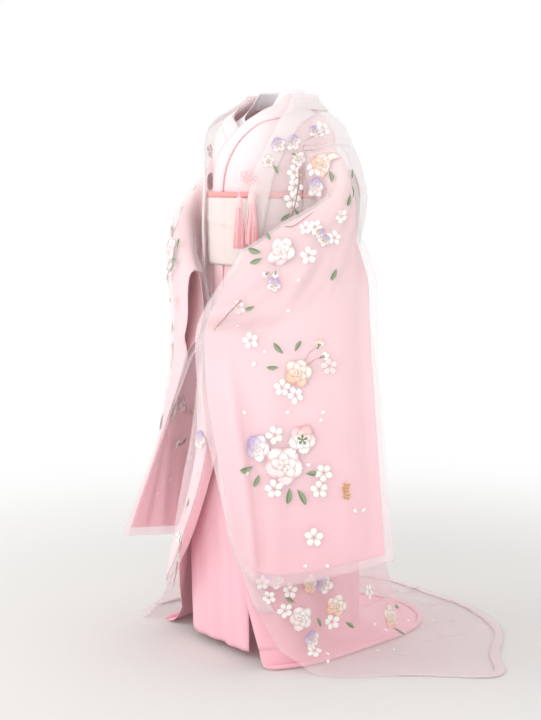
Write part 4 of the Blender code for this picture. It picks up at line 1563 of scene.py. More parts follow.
def tube(line: Sequence[Vector], radii: Sequence[float], sides: int) -> tuple[Grid, list[list[Point2]]]:
    """A round tube along a line of points.

    Args:
        line: Points along its middle.
        radii: Its radius at each point.
        sides: How many corners its cross-section has.

    Returns:
        Rows of points and their own metres.
    """
    rows, uvs = [], []
    length = 0.0
    across = None
    for k, place in enumerate(line):
        along = (line[min(k + 1, len(line) - 1)] - line[max(k - 1, 0)]).normalized()
        if across is None:
            across = along.orthogonal().normalized()
        across = (across - along * across.dot(along)).normalized()
        other = along.cross(across)
        length += (place - line[max(k - 1, 0)]).length
        turns = [math.tau * step / sides for step in range(sides)]
        rows.append([place + (across * math.cos(t) + other * math.sin(t)) * radii[k] for t in turns])
        uvs.append([(length, radii[k] * t) for t in turns])
    return rows, uvs


class MeshHeap:
    """Gathers many small nets into one mesh with a tint on each point."""

    def __init__(self) -> None:
        """Start empty."""
        self.verts: list[Vector] = []
        self.faces: list[list[int]] = []
        self.uvs: list[Point2] = []
        self.tints: list[Colour] = []

    def add(self, rows: Grid, uvs: list[list[Point2]], tints: list[list[Colour]] | None = None,
            closed: bool = False) -> None:
        """Add one net of points.

        Args:
            rows: The points.
            uvs: Their own metres.
            tints: Their colours.
            closed: The last column joins the first.
        """
        faces, corners = net_faces(uvs, [], closed, first=len(self.verts))
        self.verts += [point for row in rows for point in row]
        self.faces += faces
        self.uvs += corners
        if tints:
            self.tints += [tint for row in tints for tint in row]

    def build(self, name: str) -> bpy.types.Object:
        """Make the object.

        Args:
            name: Its name.

        Returns:
            The new object, linked to the scene.
        """
        made = new_object(name, self.verts, self.faces, self.uvs)
        if self.tints:
            tint = made.data.color_attributes.new("tint", "FLOAT_COLOR", "POINT")
            for k, colour in enumerate(self.tints):
                tint.data[k].color = (*colour, 1.0)
        made.data.shade_smooth()
        return made


class Kind(Enum):
    """What is embroidered."""

    SAKURA = "sakura"
    BLOSSOM = "blossom"
    STAR = "star"
    LEAF = "leaf"
    BUD = "bud"
    PETAL = "petal"
    SPRIG = "sprig"


class Motif(NamedTuple):
    """One motif on a panel: its place, its radius or length, where it points and its accent colour."""

    kind: Kind
    u: float
    v: float
    size: float = 0.022
    turn: float = 0.0
    accent: str = "white"


TINTS = {
    "white": srgb(253, 252, 248), "cream": srgb(251, 244, 232), "peach": srgb(250, 202, 170),
    "pink": srgb(246, 196, 196), "lilac": srgb(184, 168, 220), "pale": srgb(252, 232, 232),
    "leaf": srgb(112, 136, 96), "leaf_light": srgb(160, 176, 142), "stem": srgb(202, 168, 158),
    "bark": srgb(176, 146, 138), "gold": srgb(221, 172, 110), "gold_deep": srgb(190, 138, 78),
    "line": srgb(238, 206, 206), "seam": srgb(206, 132, 146),
}
S, B, ST, L, BD, P, G = Kind.SAKURA, Kind.BLOSSOM, Kind.STAR, Kind.LEAF, Kind.BUD, Kind.PETAL, Kind.SPRIG

SLEEVE_CLUSTERS = (
    Motif(S, .28, .71, .022, 12), Motif(S, .31, .815, .018, 40, "pale"), Motif(S, .225, .555, .022, 0),
    Motif(S, .20, .52, .022, 30), Motif(S, .125, .535, .021, 10, "pale"), Motif(S, .24, .43, .023, 20),
    Motif(S, .245, .28, .024, 5), Motif(S, .137, .276, .023, 33), Motif(S, .148, .24, .023, 8),
    Motif(S, .16, .12, .025, 0), Motif(B, .194, .577, .036, 235, "peach"), Motif(L, .224, .648, .030, 135),
    Motif(L, .202, .640, .026, 60), Motif(L, .232, .615, .026, 185),
    Motif(BD, .153, .612, .022, 70, "peach"), Motif(BD, .143, .575, .020, 20),
    Motif(B, .272, .400, .036, 150, "lilac"), Motif(ST, .185, .392, .038, 80, "pink"),
    Motif(B, .223, .338, .050, 220, "pale"), Motif(L, .283, .345, .036, 190),
    Motif(L, .272, .322, .030, 235), Motif(L, .178, .298, .032, 355), Motif(L, .213, .272, .034, 262),
    Motif(L, .196, .262, .036, 300), Motif(P, .26, .668, .011, 20), Motif(P, .278, .637, .014, 40),
    Motif(P, .22, .484, .012, 0), Motif(P, .297, .510, .013, 320), Motif(P, .145, .433, .012, 20),
    Motif(P, .147, .412, .011, 60), Motif(P, .178, .322, .012, 350), Motif(P, .30, .32, .012, 45),
    Motif(P, .07, .155, .013, 320), Motif(P, .05, .14, .013, 30), Motif(P, .185, .05, .012, 15),
    Motif(P, .135, .04, .012, 340), Motif(P, .30, .76, .010, 200, "peach"),
    Motif(G, .086, .206, .040, 80, "gold"),
)
FOREARM_CLUSTERS = (
    Motif(S, .186, .88, .022, 12), Motif(S, .178, .945, .020, 40), Motif(S, .195, .955, .018, 0),
    Motif(B, .247, .925, .040, 225, "pale"), Motif(L, .305, .955, .036, 185),
    Motif(L, .295, .935, .030, 220), Motif(L, .285, .975, .026, 130),
    Motif(BD, .27, .885, .016, 235, "pale"), Motif(BD, .25, .875, .016, 275),
    Motif(B, .25, .845, .018, 90, "lilac"), Motif(L, .28, .805, .024, 215),
    Motif(B, .170, .925, .014, 60, "lilac"), Motif(B, .160, .895, .016, 60, "lilac"),
    Motif(P, .205, .83, .012, 10), Motif(P, .211, .757, .012, 200), Motif(L, .095, .965, .030, 290),
    Motif(L, .105, .955, .028, 250), Motif(S, .129, .925, .020, 20), Motif(S, .142, .883, .018, 0),
    Motif(L, .125, .78, .026, 250), Motif(L, .07, .975, .026, 240),
)
ARM_BACK_CLUSTERS = (
    Motif(B, .04, -.945, .032, 200, "peach"), Motif(S, .02, -.90, .022, 0), Motif(L, .07, -.97, .026, 300),
    Motif(B, .02, -.85, .026, 90, "lilac"), Motif(L, .03, -.82, .028, 230), Motif(S, .05, -.80, .022, 30),
)
FAR_CLUSTERS = (
    Motif(BD, .136, -.351, .024, 60, "peach"), Motif(BD, .206, -.30, .024, 150),
    Motif(BD, .147, -.241, .022, 250), Motif(L, .165, -.30, .028, 200), Motif(P, .243, -.187, .012, 60),
    Motif(P, .302, -.149, .012, 20), Motif(S, .20, -.42, .023, 0), Motif(B, .30, -.45, .036, 150, "lilac"),
    Motif(L, .27, -.52, .030, 120), Motif(S, .10, -.12, .022, 30), Motif(P, .18, -.08, .012, 10),
    Motif(S, .25, -.60, .022, 10), Motif(B, .15, -.62, .034, 30, "peach"), Motif(L, .12, -.68, .030, 60),
    Motif(P, .29, -.68, .012, 80),
)
CHEST_LEFT = (
    Motif(B, .222, 1.318, .021, 110, "lilac"), Motif(B, .236, 1.278, .019, 80, "white"),
    Motif(S, .225, 1.245, .020, 20), Motif(S, .228, 1.212, .021, 45), Motif(S, .22, 1.178, .023, 0),
    Motif(L, .218, 1.292, .022, 330), Motif(B, .274, 1.345, .016, 90, "lilac"),
    Motif(S, .296, 1.352, .022, 15), Motif(L, .215, 1.145, .026, 215), Motif(L, .226, 1.155, .024, 300),
    Motif(B, .165, .93, .028, 60, "peach"), Motif(S, .20, .90, .022, 0), Motif(L, .15, .89, .026, 230),
)
LEFT_SKIRT = (
    Motif(B, .175, .234, .025, 160, "lilac"), Motif(B, .297, .204, .026, 150, "lilac"),
    Motif(B, .255, .073, .024, 120, "lilac"), Motif(S, .205, .205, .020, 0), Motif(S, .195, .155, .021, 25),
    Motif(S, .313, .105, .022, 10), Motif(B, .251, .215, .028, 240, "peach"),
    Motif(B, .228, .132, .034, 200, "pale"), Motif(B, .325, .145, .030, 230, "peach"),
    Motif(B, .467, .074, .036, 230, "peach"), Motif(L, .343, .100, .026, 320),
    Motif(L, .449, .035, .030, 240), Motif(L, .495, .09, .028, 330), Motif(L, .270, .125, .026, 300),
    Motif(L, .215, .175, .024, 150), Motif(P, .41, .074, .012, 20), Motif(P, .43, .03, .013, 60),
    Motif(P, .485, -.011, .013, 10), Motif(P, .503, -.154, .013, 50), Motif(P, .33, -.063, .013, 30),
    Motif(P, .36, -.09, .012, 120), Motif(P, .231, -.119, .012, 0), Motif(P, .25, -.05, .012, 80),
    Motif(S, .24, .003, .020, 0), Motif(S, .42, .16, .022, 20), Motif(B, .56, .30, .034, 210, "lilac"),
    Motif(L, .53, .26, .030, 240), Motif(S, .58, .22, .022, 0), Motif(B, .53, .56, .040, 220, "peach"),
    Motif(L, .50, .62, .032, 140), Motif(L, .57, .60, .032, 40), Motif(S, .56, .46, .023, 10),
    Motif(S, .50, .42, .023, 40), Motif(B, .58, .78, .036, 100, "lilac"), Motif(L, .55, .84, .030, 120),
    Motif(P, .52, .70, .013, 0), Motif(P, .47, .50, .013, 60), Motif(B, .50, 1.00, .034, 200, "pale"),
    Motif(S, .55, 1.05, .022, 0), Motif(L, .46, 1.04, .028, 160), Motif(P, .52, .92, .012, 30),
    Motif(S, .30, .62, .022, 0), Motif(S, .38, .45, .023, 20), Motif(P, .34, .35, .012, 50),
)
LEFT_EDGE = (
    Motif(B, .185, 1.312, .019, 120, "lilac"), Motif(B, .158, 1.272, .016, 180, "white"),
    Motif(L, .172, 1.262, .020, 300), Motif(S, .096, .418, .018, 0), Motif(L, .113, .352, .024, 250),
    Motif(L, .118, .325, .022, 300), Motif(S, .150, .228, .019, 0), Motif(S, .163, .190, .019, 30),
    Motif(P, .07, .50, .011, 30),
)
RIGHT_SKIRT = (
    Motif(S, -.245, .215, .020, 0), Motif(S, -.262, .190, .018, 30), Motif(S, -.276, .152, .022, 10),
    Motif(S, -.298, .120, .020, 40), Motif(BD, -.24, .13, .018, 100), Motif(L, -.255, .10, .022, 200),
    Motif(B, -.36, .30, .034, 220, "peach"), Motif(L, -.33, .36, .030, 130), Motif(L, -.40, .35, .030, 50),
    Motif(S, -.38, .22, .022, 0), Motif(B, -.45, .52, .040, 160, "lilac"), Motif(S, -.40, .60, .023, 20),
    Motif(L, -.49, .58, .032, 60), Motif(L, -.43, .45, .030, 240), Motif(S, -.50, .40, .023, 0),
    Motif(B, -.56, .66, .038, 220, "peach"), Motif(L, -.58, .72, .030, 80), Motif(S, -.52, .80, .022, 0),
    Motif(B, -.57, .95, .036, 60, "lilac"), Motif(L, -.54, 1.02, .028, 100), Motif(S, -.50, 1.05, .022, 30),
    Motif(B, -.50, .18, .034, 210, "pale"), Motif(L, -.46, .14, .030, 230), Motif(S, -.56, .12, .022, 0),
    Motif(P, -.30, .42, .012, 20), Motif(P, -.35, .50, .012, 60), Motif(P, -.52, .30, .013, 10),
    Motif(P, -.57, .50, .013, 40), Motif(P, -.48, -.02, .013, 0), Motif(P, -.40, -.06, .013, 70),
    Motif(P, -.56, -.10, .013, 30), Motif(B, -.48, -.14, .034, 120, "lilac"), Motif(S, -.42, -.18, .022, 0),
    Motif(L, -.52, -.10, .028, 60), Motif(S, -.25, 1.30, .022, 10), Motif(B, -.24, 1.22, .026, 60, "lilac"),
    Motif(L, -.235, 1.17, .024, 240), Motif(S, -.21, .92, .022, 0), Motif(P, -.18, .80, .012, 30),
)
RIGHT_EDGE = (
    Motif(B, -.030, .565, .026, 100, "lilac"), Motif(P, -.036, .478, .012, 20),
    Motif(S, -.085, .30, .018, 0), Motif(L, -.050, .41, .022, 250), Motif(S, -.100, .80, .018, 20),
    Motif(P, -.13, 1.02, .011, 0),
)
BRANCHES = (
    ("over_sleeve_left", ((.246, .985), (.225, .975), (.200, .98), (.180, .985)), .0016),
    ("over_sleeve_left", ((.310, .833), (.325, .81), (.345, .775), (.352, .755)), .0020),
    ("over_sleeve_left", ((.185, .60), (.170, .615), (.155, .610)), .0008),
    ("over_sleeve_left", ((.180, .585), (.160, .585), (.146, .575)), .0008),
    ("over_sleeve_left", ((.200, .36), (.193, .375), (.187, .388)), .0010),
    ("over_body_left", ((.238, 1.255), (.236, 1.215), (.226, 1.165), (.212, 1.125)), .0030),
    ("over_body_left", ((.300, 1.345), (.275, 1.335), (.250, 1.322)), .0012),
    ("over_body_right", ((-.250, .170), (-.261, .135), (-.285, .09), (-.300, .06)), .0020),
    ("over_body_left", ((.52, .66), (.545, .73), (.575, .76)), .0018),
    ("over_body_right", ((-.55, .70), (-.56, .80), (-.565, .92)), .0018),
    ("over_sleeve_right", ((.20, -.45), (.17, -.38), (.14, -.36)), .0012),
)


class RaisedPanel(Panel):
    """The folded band that lies over the front edge of a body panel."""

    def __init__(self, base: BodyPanel, rise: float) -> None:
        """Keep the panel under it and how far it stands off."""
        self.base, self.rise = base, rise

    def point(self, u: float, v: float, out: float = 0.0) -> Vector:
        """A point of the band, moved out by an amount."""
        return self.base.point(u, v, out + self.rise)

    def outward(self, u: float, v: float) -> Vector:
        """Roughly which way the band faces."""
        return self.base.outward(u, v)


class Spot:
    """A place on a panel where something is stitched, seen from outside with the panel's length upright."""

    def __init__(self, panel: Panel, u: float, v: float) -> None:
        """Find the cloth's directions at the place.

        Args:
            panel: The cloth.
            u: Place across the cloth.
            v: Place along the cloth.
        """
        self.panel, self.u, self.v = panel, u, v
        _, self.across, self.along, normal = panel.frame_at(u, v)
        self.normal = normal if normal.dot(panel.outward(u, v)) > 0 else -normal
        self.up = (self.along - self.normal * self.along.dot(self.normal)).normalized()
        if isinstance(panel, SleevePanel) and v < 0:
            self.up = -self.up
        self.right = self.up.cross(self.normal)
        aa, ab, bb = self.across.dot(self.across), self.across.dot(self.along), self.along.dot(self.along)
        self.gram = (aa, ab, bb, max(aa * bb - ab * ab, 1e-9))

    def at(self, a: float, b: float, high: float) -> Vector:
        """The point a metres to the right and b metres up the cloth, standing off it.

        Args:
            a: Metres to the right.
            b: Metres up the cloth.
            high: How far it stands off.

        Returns:
            The point.
        """
        way = self.right * a + self.up * b
        first, second = way.dot(self.across), way.dot(self.along)
        aa, ab, bb, det = self.gram
        du, dv = (first * bb - second * ab) / det, (second * aa - first * ab) / det
        return self.panel.point(self.u + du, self.v + dv) + self.normal * (0.0012 + high)


def mixed(first: Colour, second: Colour, share: float) -> Colour:
    """The colour a share of the way from the first to the second."""
    return tuple(lerp(a, b, min(max(share, 0.0), 1.0)) for a, b in zip(first, second))


class Embroidery:
    """Raised stitching on one panel."""

    def __init__(self, panel: Panel, seed: int) -> None:
        """Start with no stitches."""
        self.panel, self.heap, self.chance = panel, MeshHeap(), random.Random(seed)

    def blade(self, spot: Spot, start: Point2, turn: float, length: float, width: float, notch: float,
              high: float, tint: Callable[[float, float, float, float], Colour], rows: int = 7,
              fullness: float = 0.75, bend: float = 0.0) -> None:
        """One petal or leaf: a small domed net from its base to its tip.

        Args:
            spot: Where it is.
            start: Its base, to the right and up.
            turn: Where it points, in degrees from the right.
            length: Its length.
            width: Its half width.
            notch: How deep its tip is notched, as a share of its length.
            high: How far it stands off the cloth.
            tint: Colour from its place along, across, and to the right and up.
            rows: How many rows it has.
            fullness: Where its outline is widest; less is nearer the base.
            bend: How far its middle bends sideways.
        """
        way, net, uvs, tints = math.radians(turn), [], [], []
        for j in range(rows):
            s = j / (rows - 1)
            wide = width * max(math.sin(math.pi * min(s, 0.985) ** (1 / fullness)), 0.02) ** 0.62
            row, uv, tone = [], [], []
            for k in range(5):
                t = k / 2 - 1
                r = length * s * (1 - notch * s**5 * (1 - abs(t)) ** 1.3)
                side = wide * t + bend * length * math.sin(math.pi * s)
                a = start[0] + r * math.cos(way) - side * math.sin(way)
                b = start[1] + r * math.sin(way) + side * math.cos(way)
                dome = 0.0007 * math.sin(math.pi * s) * (1 - t * t)
                row.append(spot.at(a, b, high + dome))
                uv.append((a * 1.7 + spot.u, b * 1.7 + spot.v))
                tone.append(tint(s, t, a, b))
            net.append(row)
            uvs.append(uv)
            tints.append(tone)
        self.heap.add(net, uvs, tints)

    def ring(self, spot: Spot, count: int, size: float, turn: float, width: float, notch: float, high: float,
             tint: Callable[[float, float, float, float], Colour], start: float = 0.06) -> None:
        """Petals all round a place.

        Args:
            spot: Where it is.
            count: How many petals there are.
            size: Their reach.
            turn: Where the first points, in degrees.
            width: Half width as a share of the reach.
            notch: How deep the tips are notched.
            high: How far they stand off.
            tint: Their colour, as in blade.
            start: Where they start, as a share of the reach.
        """
        for k in range(count):
            way = turn + 360 * k / count + self.chance.uniform(-4, 4)
            reach = size * self.chance.uniform(0.93, 1.05)
            base = (start * size * math.cos(math.radians(way)), start * size * math.sin(math.radians(way)))
            self.blade(spot, base, way, reach * (1 - start), width * size, notch, high + 0.00012 * k, tint)

    def sakura(self, motif: Motif, spot: Spot) -> None:
        """A small white cherry flower with five parted petals.

        Args:
            motif: What is stitched.
            spot: Where it is.
        """
        white = TINTS[motif.accent]

        def tint(s: float, t: float, a: float, b: float) -> Colour:
            """White, with pale lines near the middle."""
            return mixed(TINTS["line"], white, s * 3.2 - 0.1)

        self.ring(spot, 5, motif.size, motif.turn + 90, 0.33, 0.17, 0.0, tint, 0.10)

    def blossom(self, motif: Motif, spot: Spot) -> None:
        """A full flower that shades from pale to its accent colour on one side.

        Args:
            motif: What is stitched.
            spot: Where it is.
        """
        accent, pale = TINTS[motif.accent], TINTS["cream" if motif.accent == "peach" else "white"]
        way = math.radians(motif.turn)

        def tint(s: float, t: float, a: float, b: float) -> Colour:
            """Pale, shading to the accent towards one side and the edges."""
            lean = (a * math.cos(way) + b * math.sin(way)) / motif.size
            petal = mixed(pale, accent, 0.15 + 0.95 * lean + 0.10 * s)
            return mixed(petal, TINTS["seam"], max(0.70 * abs(t) ** 5, 0.75 - 2.2 * s))

        self.ring(spot, 5, motif.size, motif.turn + 54, 0.50, 0.12, 0.0, tint, 0.0)
        self.ring(spot, 5, motif.size * 0.66, motif.turn + 18, 0.46, 0.14, 0.0009, tint, 0.0)
        self.ring(spot, 5, motif.size * 0.36, motif.turn + 54, 0.44, 0.14, 0.0017, tint, 0.0)
        for k in range(12):
            spread = motif.size * 0.22 * self.chance.uniform(0.3, 1.0)
            turn = 30 * k + self.chance.uniform(-12, 12)
            start = (spread * math.cos(math.radians(turn)), spread * math.sin(math.radians(turn)))
            self.blade(spot, start, turn, 0.0048, 0.0008, 0.0, 0.0024,
                       lambda s, t, a, b: mixed(TINTS["gold_deep"], TINTS["gold"], s), rows=4)

    def star(self, motif: Motif, spot: Spot) -> None:
        """A flower seen from behind, with its green calyx.

        Args:
            motif: What is stitched.
            spot: Where it is.
        """
        self.blossom(motif, spot)
        for k in range(5):
            self.blade(spot, (0.0, 0.0), motif.turn + 10 + 72 * k, motif.size * 0.36, motif.size * 0.085,
                       0.0, 0.0027, lambda s, t, a, b: mixed(TINTS["leaf"], TINTS["leaf_light"], s * 0.4),
                       fullness=0.55)

    def leaf(self, motif: Motif, spot: Spot) -> None:
        """A leaf, darker on one half, with a pale vein.

        Args:
            motif: What is stitched.
            spot: Where it is.
        """
        def tint(s: float, t: float, a: float, b: float) -> Colour:
            """Two greens and the vein."""
            if abs(t) < 0.1:
                return mixed(TINTS["leaf_light"], TINTS["leaf"], 0.2 * s)
            return mixed(TINTS["leaf"], TINTS["leaf_light"], 0.25 + (0.45 if t > 0 else -0.25))

        self.blade(spot, (0.0, 0.0), motif.turn, motif.size * 1.15, motif.size * 0.20, 0.0, 0.0, tint, rows=9,
                   fullness=0.85, bend=0.05)

    def bud(self, motif: Motif, spot: Spot) -> None:
        """A half open bud on its calyx.

        Args:
            motif: What is stitched.
            spot: Where it is.
        """
        accent = TINTS[motif.accent]
        for spread in (-34, 34, 0):
            self.blade(spot, (0.0, 0.0), motif.turn + spread, motif.size * (0.75 if spread else 0.9),
                       motif.size * 0.26, 0.12, 0.0003 + (0.0 if spread else 0.0006),
                       lambda s, t, a, b, far=spread: mixed(TINTS["white"], accent, s if far >= 0 else 0.2))
        for spread in (-26, 26, 180):
            self.blade(spot, (0.0, 0.0), motif.turn + spread, motif.size * 0.34, motif.size * 0.09,
                       0.0, 0.0013, lambda s, t, a, b: TINTS["leaf"])

    def petal(self, motif: Motif, spot: Spot) -> None:
        """One fallen petal."""
        self.blade(spot, (0.0, 0.0), motif.turn, motif.size, motif.size * 0.34, 0.14, 0.0,
                   lambda s, t, a, b: mixed(TINTS["pale"], TINTS["white"], 0.4 + s))

    def sprig(self, motif: Motif, spot: Spot) -> None:
        """A small upright sprig of gold leaves.

        Args:
            motif: What is stitched.
            spot: Where it is.
        """
        for k in range(5):
            base = (0.002 * math.sin(k * 1.9), motif.size * (k / 5 - 0.5))
            for spread in (-62, 58):
                self.blade(spot, base, motif.turn + spread, motif.size * 0.26, motif.size * 0.075,
                           0.0, 0.0002 * k,
                           lambda s, t, a, b: mixed(TINTS["gold_deep"], TINTS["gold"], s * 1.4))
        self.blade(spot, (0.0, -motif.size * 0.55), motif.turn + 8, motif.size * 1.15, motif.size * 0.035,
                   0.0, 0.0011, lambda s, t, a, b: TINTS["gold"])

    def branch(self, line: Sequence[Point2], width: float) -> None:
        """A tapering branch along points of the panel.

        Args:
            line: Places on the panel.
            width: Its radius at the start.
        """
        stops = refine(range(len(line)), 6)
        index = range(len(line))
        path, radii = [], []
        for k, stop in enumerate(stops):
            u, v = (cubic(index, [point[i] for point in line], stop) for i in range(2))
            path.append(Spot(self.panel, u, v).at(0.0, 0.0, 0.0002))
            radii.append(width * lerp(1.0, 0.45, k / (len(stops) - 1)) * self.chance.uniform(0.88, 1.1))
        rows, uvs = tube(path, radii, 6)
        tints = [[mixed(TINTS["bark"], TINTS["stem"], self.chance.random()) for _ in row] for row in rows]
        self.heap.add(rows, uvs, tints, closed=True)

    def stitch(self, motifs: Sequence[Motif]) -> None:
        """Add some motifs.

        Args:
            motifs: What is stitched.
        """
        makers = {Kind.SAKURA: self.sakura, Kind.BLOSSOM: self.blossom, Kind.STAR: self.star,
                  Kind.LEAF: self.leaf, Kind.BUD: self.bud, Kind.PETAL: self.petal, Kind.SPRIG: self.sprig}
        for motif in motifs:
            makers[motif.kind](motif, Spot(self.panel, motif.u, motif.v))

    def build(self, name: str) -> None:
        """Make the piece."""
        dress(self.heap.build(name), THREAD)


def embroider(garment: Garment) -> None:
    """Embroider the organza all round.

    Args:
        garment: The robes.
    """
    panels = garment.panels
    sleeve = SLEEVE_CLUSTERS + FOREARM_CLUSTERS
    plan = {
        "over_sleeve_left": sleeve + ARM_BACK_CLUSTERS + FAR_CLUSTERS,
        "over_sleeve_right": sleeve + FAR_CLUSTERS,
        "over_body_left": CHEST_LEFT + LEFT_SKIRT,
        "over_body_right": RIGHT_SKIRT,
    }
    for k, (name, motifs) in enumerate(plan.items()):
        work = Embroidery(panels[name], 20 + k)
        work.stitch(motifs)
        for panel_name, line, width in BRANCHES:
            if panel_name == name:
                work.branch(line, width)
        work.build("embroidery_" + name)
    for name, motifs in (("over_body_left", LEFT_EDGE), ("over_body_right", RIGHT_EDGE)):
        work = Embroidery(RaisedPanel(panels[name], 0.0050), 30)
        work.stitch(motifs)
        work.build("embroidery_collar_" + name.removeprefix("over_body_"))


@dataclass
class Tassels:
    """The flower knot of cord and the two tassels that hang from it.

    Attributes:
        angle: Direction of the knot from the front, in degrees.
        height: Its height above the floor.
        stand_off: How far the knot stands off the over-robe.
        hang_off: How far the tassels do.
        cord: Radius of the knot's cord.
        threads: Threads in each tassel.
        ends: Name, direction and height of the top of each tassel.
    """

    angle: float = 30
    height: float = 1.232
    stand_off: float = 0.018
    hang_off: float = 0.027
    cord: float = 0.0015
    threads: int = 150
    ends: tuple[tuple[str, float, float], ...] = (("tassel_one", 25, 1.205), ("tassel_two", 35, 1.216))

    def __post_init__(self) -> None:
        """Find the knot's middle and directions."""
        self.centre = OVER.point(self.angle, self.height, self.stand_off)
        turn = math.radians(self.angle)
        self.out = Vector((math.sin(turn), -math.cos(turn), 0.0))
        self.aside = Vector((math.cos(turn), math.sin(turn), 0.0))

    def rosette(self, heap: MeshHeap, petals: int, inner: float, outer: float, depth: float,
                phase: float) -> None:
        """A closed cord looped into petals round the middle.

        Args:
            heap: Where it is gathered.
            petals: How many loops there are.
            inner: Nearest to the middle.
            outer: Farthest from it.
            depth: How far out it lies.
            phase: Where the first loop starts.
        """
        line = []
        steps = petals * 22
        for k in range(steps + 1):
            t = math.tau * k / steps
            spot = petals * t + phase
            radius = lerp(inner, outer, 0.5 + 0.5 * math.cos(spot))
            swing = 0.42 * math.sin(spot) / petals * 1.7
            turn = t + swing
            lift = depth + 0.0022 * math.sin(spot)
            line.append(self.centre + self.aside * (radius * math.cos(turn)) + self.out * lift
                        + Vector((0, 0, radius * math.sin(turn))))
        rows, uvs = tube(line, [self.cord] * len(line), 8)
        heap.add(rows, uvs, closed=True)

    def strands(self, heap: MeshHeap, top: Vector, seed: int) -> None:
        """The head and threads of one tassel, hanging from a point.

        Args:
            heap: Where it is gathered.
            top: Where it hangs from.
            seed: Seed of its random threads.
        """
        chance = random.Random(seed)
        drop = Vector((0, 0, -1))
        cord = [top + drop * (0.024 * k / 5) + self.out * (0.001 * math.sin(k)) for k in range(6)]
        rows, uvs = tube(cord, [0.0014] * 6, 8)
        heap.add(rows, uvs, closed=True)
        profile = ((.020, .0012), (.022, .0050), (.026, .0082), (.031, .0095), (.036, .0090),
                   (.040, .0078), (.042, .0082), (.045, .0080), (.048, .0088))
        rows, uvs = [], []
        for down, radius in profile:
            turns = [math.tau * step / 22 for step in range(22)]
            rows.append([top + drop * down + (self.aside * math.cos(t) + self.out * math.sin(t)) * radius
                         for t in turns])
            uvs.append([(down, radius * t) for t in turns])
        heap.add(rows, uvs, closed=True)
        for _ in range(self.threads):
            turn, share = chance.uniform(0, math.tau), math.sqrt(chance.random())
            curl, wide = chance.uniform(-0.5, 0.5), chance.uniform(0.9, 1.12)
            end = chance.uniform(.141, .150)
            line = []
            for k in range(9):
                down = lerp(.043, end, k / 8)
                spread = lerp(.0074, .0150, ease((down - .043) / .10)) * share * wide
                spin = turn + curl * (down - .043) * 8
                away = self.aside * math.cos(spin) + self.out * math.sin(spin)
                line.append(top + drop * down + away * spread)
            rows, uvs = tube(line, [0.0010 - 0.00003 * k for k in range(9)], 4)
            heap.add(rows, uvs, closed=True)

    def build(self) -> None:
        """Make the knot and both tassels."""
        knot = MeshHeap()
        self.rosette(knot, 5, 0.0045, 0.0195, 0.001, 0.3)
        self.rosette(knot, 5, 0.0035, 0.0160, 0.0055, math.pi + 0.6)
        self.rosette(knot, 4, 0.0015, 0.0085, 0.0085, 0.0)
        made = knot.build("cord_tassel_knot")
        dress(made, TASSEL_SILK, "tassel_knot")
        for k, (name, angle, height) in enumerate(self.ends):
            heap = MeshHeap()
            self.strands(heap, OVER.point(angle, height, self.hang_off), 11 + k)
            dress(heap.build("cord_" + name), TASSEL_SILK, name)


class Lamp(NamedTuple):
    """One soft square light: where it is, what it faces, its size, power and tint."""

    name: str
    place: Colour
    aim: Colour
    size: float
    power: float
    tint: Colour = (1.0, 1.0, 1.0)


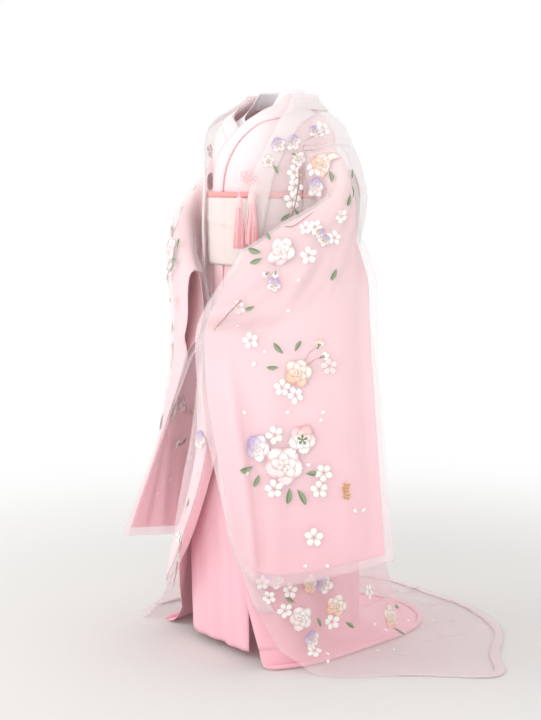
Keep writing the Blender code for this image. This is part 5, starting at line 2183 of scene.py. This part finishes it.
@dataclass(frozen=True)
class Studio:
    """The pale floor, white surroundings, soft lights and the camera.

    Attributes:
        floor_half: Half the floor's side.
        floor_tint: Its colour near the robe.
        fade: Distances from the robe between which it turns white.
        lens: The camera's lens in millimetres.
        shift: Sideways shift of the camera's picture.
        distance: Distance of the camera from the robe's middle.
        eye: Its height above the floor.
        turn: Its direction from the front, in degrees.
        tilt: How far it looks down, in degrees.
        lamps: The lights.
    """

    floor_half: float = 30.0
    floor_tint: Colour = srgb(219, 218, 215)
    fade: Point2 = (0.7, 3.0)
    lens: float = 75.05
    shift: float = -0.0063
    distance: float = 3.9
    eye: float = 1.25
    turn: float = 50
    tilt: float = 7.2
    lamps: tuple[Lamp, ...] = (
        Lamp("key", (0.8, -3.2, -0.5), (-0.3, 0.0, -0.8), 1.6, 11.0, (1.0, 0.99, 0.98)),
        Lamp("side", (3.4, 0.6, 1.2), (0.0, 0.0, -0.6), 1.4, 6.0),
        Lamp("fill", (2.7, -2.5, 0.5), (-0.2, 0.0, -0.7), 2.0, 18.0),
        Lamp("left", (-2.6, -3.0, 0.6), (-0.2, 0.0, -0.8), 2.0, 54.0, (1.0, 0.99, 0.99)),
    )

    def floor(self) -> None:
        """A plain pale floor that fades into white away from the robe."""
        mesh = bpy.data.meshes.new("studio_floor")
        size, height = self.floor_half, -SHOULDER_HEIGHT
        mesh.from_pydata([(-size, -size, height), (size, -size, height), (size, size, height),
                          (-size, size, height)], [], [(0, 1, 2, 3)])
        made = bpy.data.objects.new("studio_floor", mesh)
        bpy.context.scene.collection.objects.link(made)
        material = bpy.data.materials.new("studio_floor")
        material.use_nodes = True
        tree = material.node_tree
        shader = tree.nodes["Principled BSDF"]
        shader.inputs["Base Color"].default_value = (*self.floor_tint, 1.0)
        shader.inputs["Roughness"].default_value = 0.8
        shader.inputs["Specular IOR Level"].default_value = 0.1
        painted_glow = tree.nodes.new("ShaderNodeEmission")
        painted_glow.inputs["Color"].default_value = (1.0, 1.0, 1.0, 1.0)
        place = tree.nodes.new("ShaderNodeNewGeometry")
        distance = tree.nodes.new("ShaderNodeVectorMath")
        distance.operation = "DISTANCE"
        distance.inputs[1].default_value = (0.15, 0.0, -SHOULDER_HEIGHT)
        span = tree.nodes.new("ShaderNodeMapRange")
        span.interpolation_type = "SMOOTHERSTEP"
        span.inputs["From Min"].default_value = self.fade[0]
        span.inputs["From Max"].default_value = self.fade[1]
        mix = tree.nodes.new("ShaderNodeMixShader")
        tree.links.new(place.outputs["Position"], distance.inputs[0])
        tree.links.new(distance.outputs["Value"], span.inputs["Value"])
        tree.links.new(span.outputs["Result"], mix.inputs["Fac"])
        tree.links.new(shader.outputs[0], mix.inputs[1])
        tree.links.new(painted_glow.outputs[0], mix.inputs[2])
        tree.links.new(mix.outputs[0], tree.nodes["Material Output"].inputs["Surface"])
        mesh.materials.append(material)
        made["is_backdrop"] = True

    def light(self, lamp: Lamp) -> None:
        """One soft square light.

        Args:
            lamp: What it is like.
        """
        data = bpy.data.lights.new(lamp.name, "AREA")
        data.shape, data.size, data.energy, data.color = "SQUARE", lamp.size, lamp.power, lamp.tint
        made = bpy.data.objects.new(lamp.name, data)
        made.location = lamp.place
        made.rotation_mode = "QUATERNION"
        made.rotation_quaternion = (Vector(lamp.aim) - Vector(lamp.place)).to_track_quat("-Z", "Y")
        bpy.context.scene.collection.objects.link(made)

    def build(self) -> None:
        """Make the surroundings."""
        scene = bpy.context.scene
        world = bpy.data.worlds.new("studio")
        world.use_nodes = True
        world.node_tree.nodes["Background"].inputs["Color"].default_value = (1.0, 1.0, 1.0, 1.0)
        world.node_tree.nodes["Background"].inputs["Strength"].default_value = 1.0
        scene.world = world
        scene.view_settings.view_transform = "Standard"
        scene.cycles.transparent_max_bounces = 32
        self.floor()
        for lamp in self.lamps:
            self.light(lamp)
        camera = bpy.data.cameras.new("camera")
        camera.sensor_width, camera.lens = 36.0, self.lens
        camera.shift_x = self.shift
        made = bpy.data.objects.new("camera", camera)
        turn = math.radians(self.turn)
        made.location = (self.distance * math.sin(turn), -self.distance * math.cos(turn),
                         self.eye - SHOULDER_HEIGHT)
        made.rotation_euler = (math.radians(90 - self.tilt), 0.0, turn)
        scene.collection.objects.link(made)
        scene.camera = made


def write_sizes() -> None:
    """Gather the solids' box and the shown object's box as plain lists, and log the shown box."""
    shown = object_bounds()
    boxes = {"cad": [list(corner) for corner in CAD_BOX], "shown": [list(corner) for corner in shown]}
    LOG.info("shown box %s to %s", *boxes["shown"])


def main() -> None:
    """Build the pieces, the stage and the camera."""
    garment = Garment()
    garment.build()
    Obi().build()
    embroider(garment)
    Tassels().build()
    Studio().build()
    write_sizes()


if __name__ == "__main__":
    logging.basicConfig(level=logging.INFO)
    main()
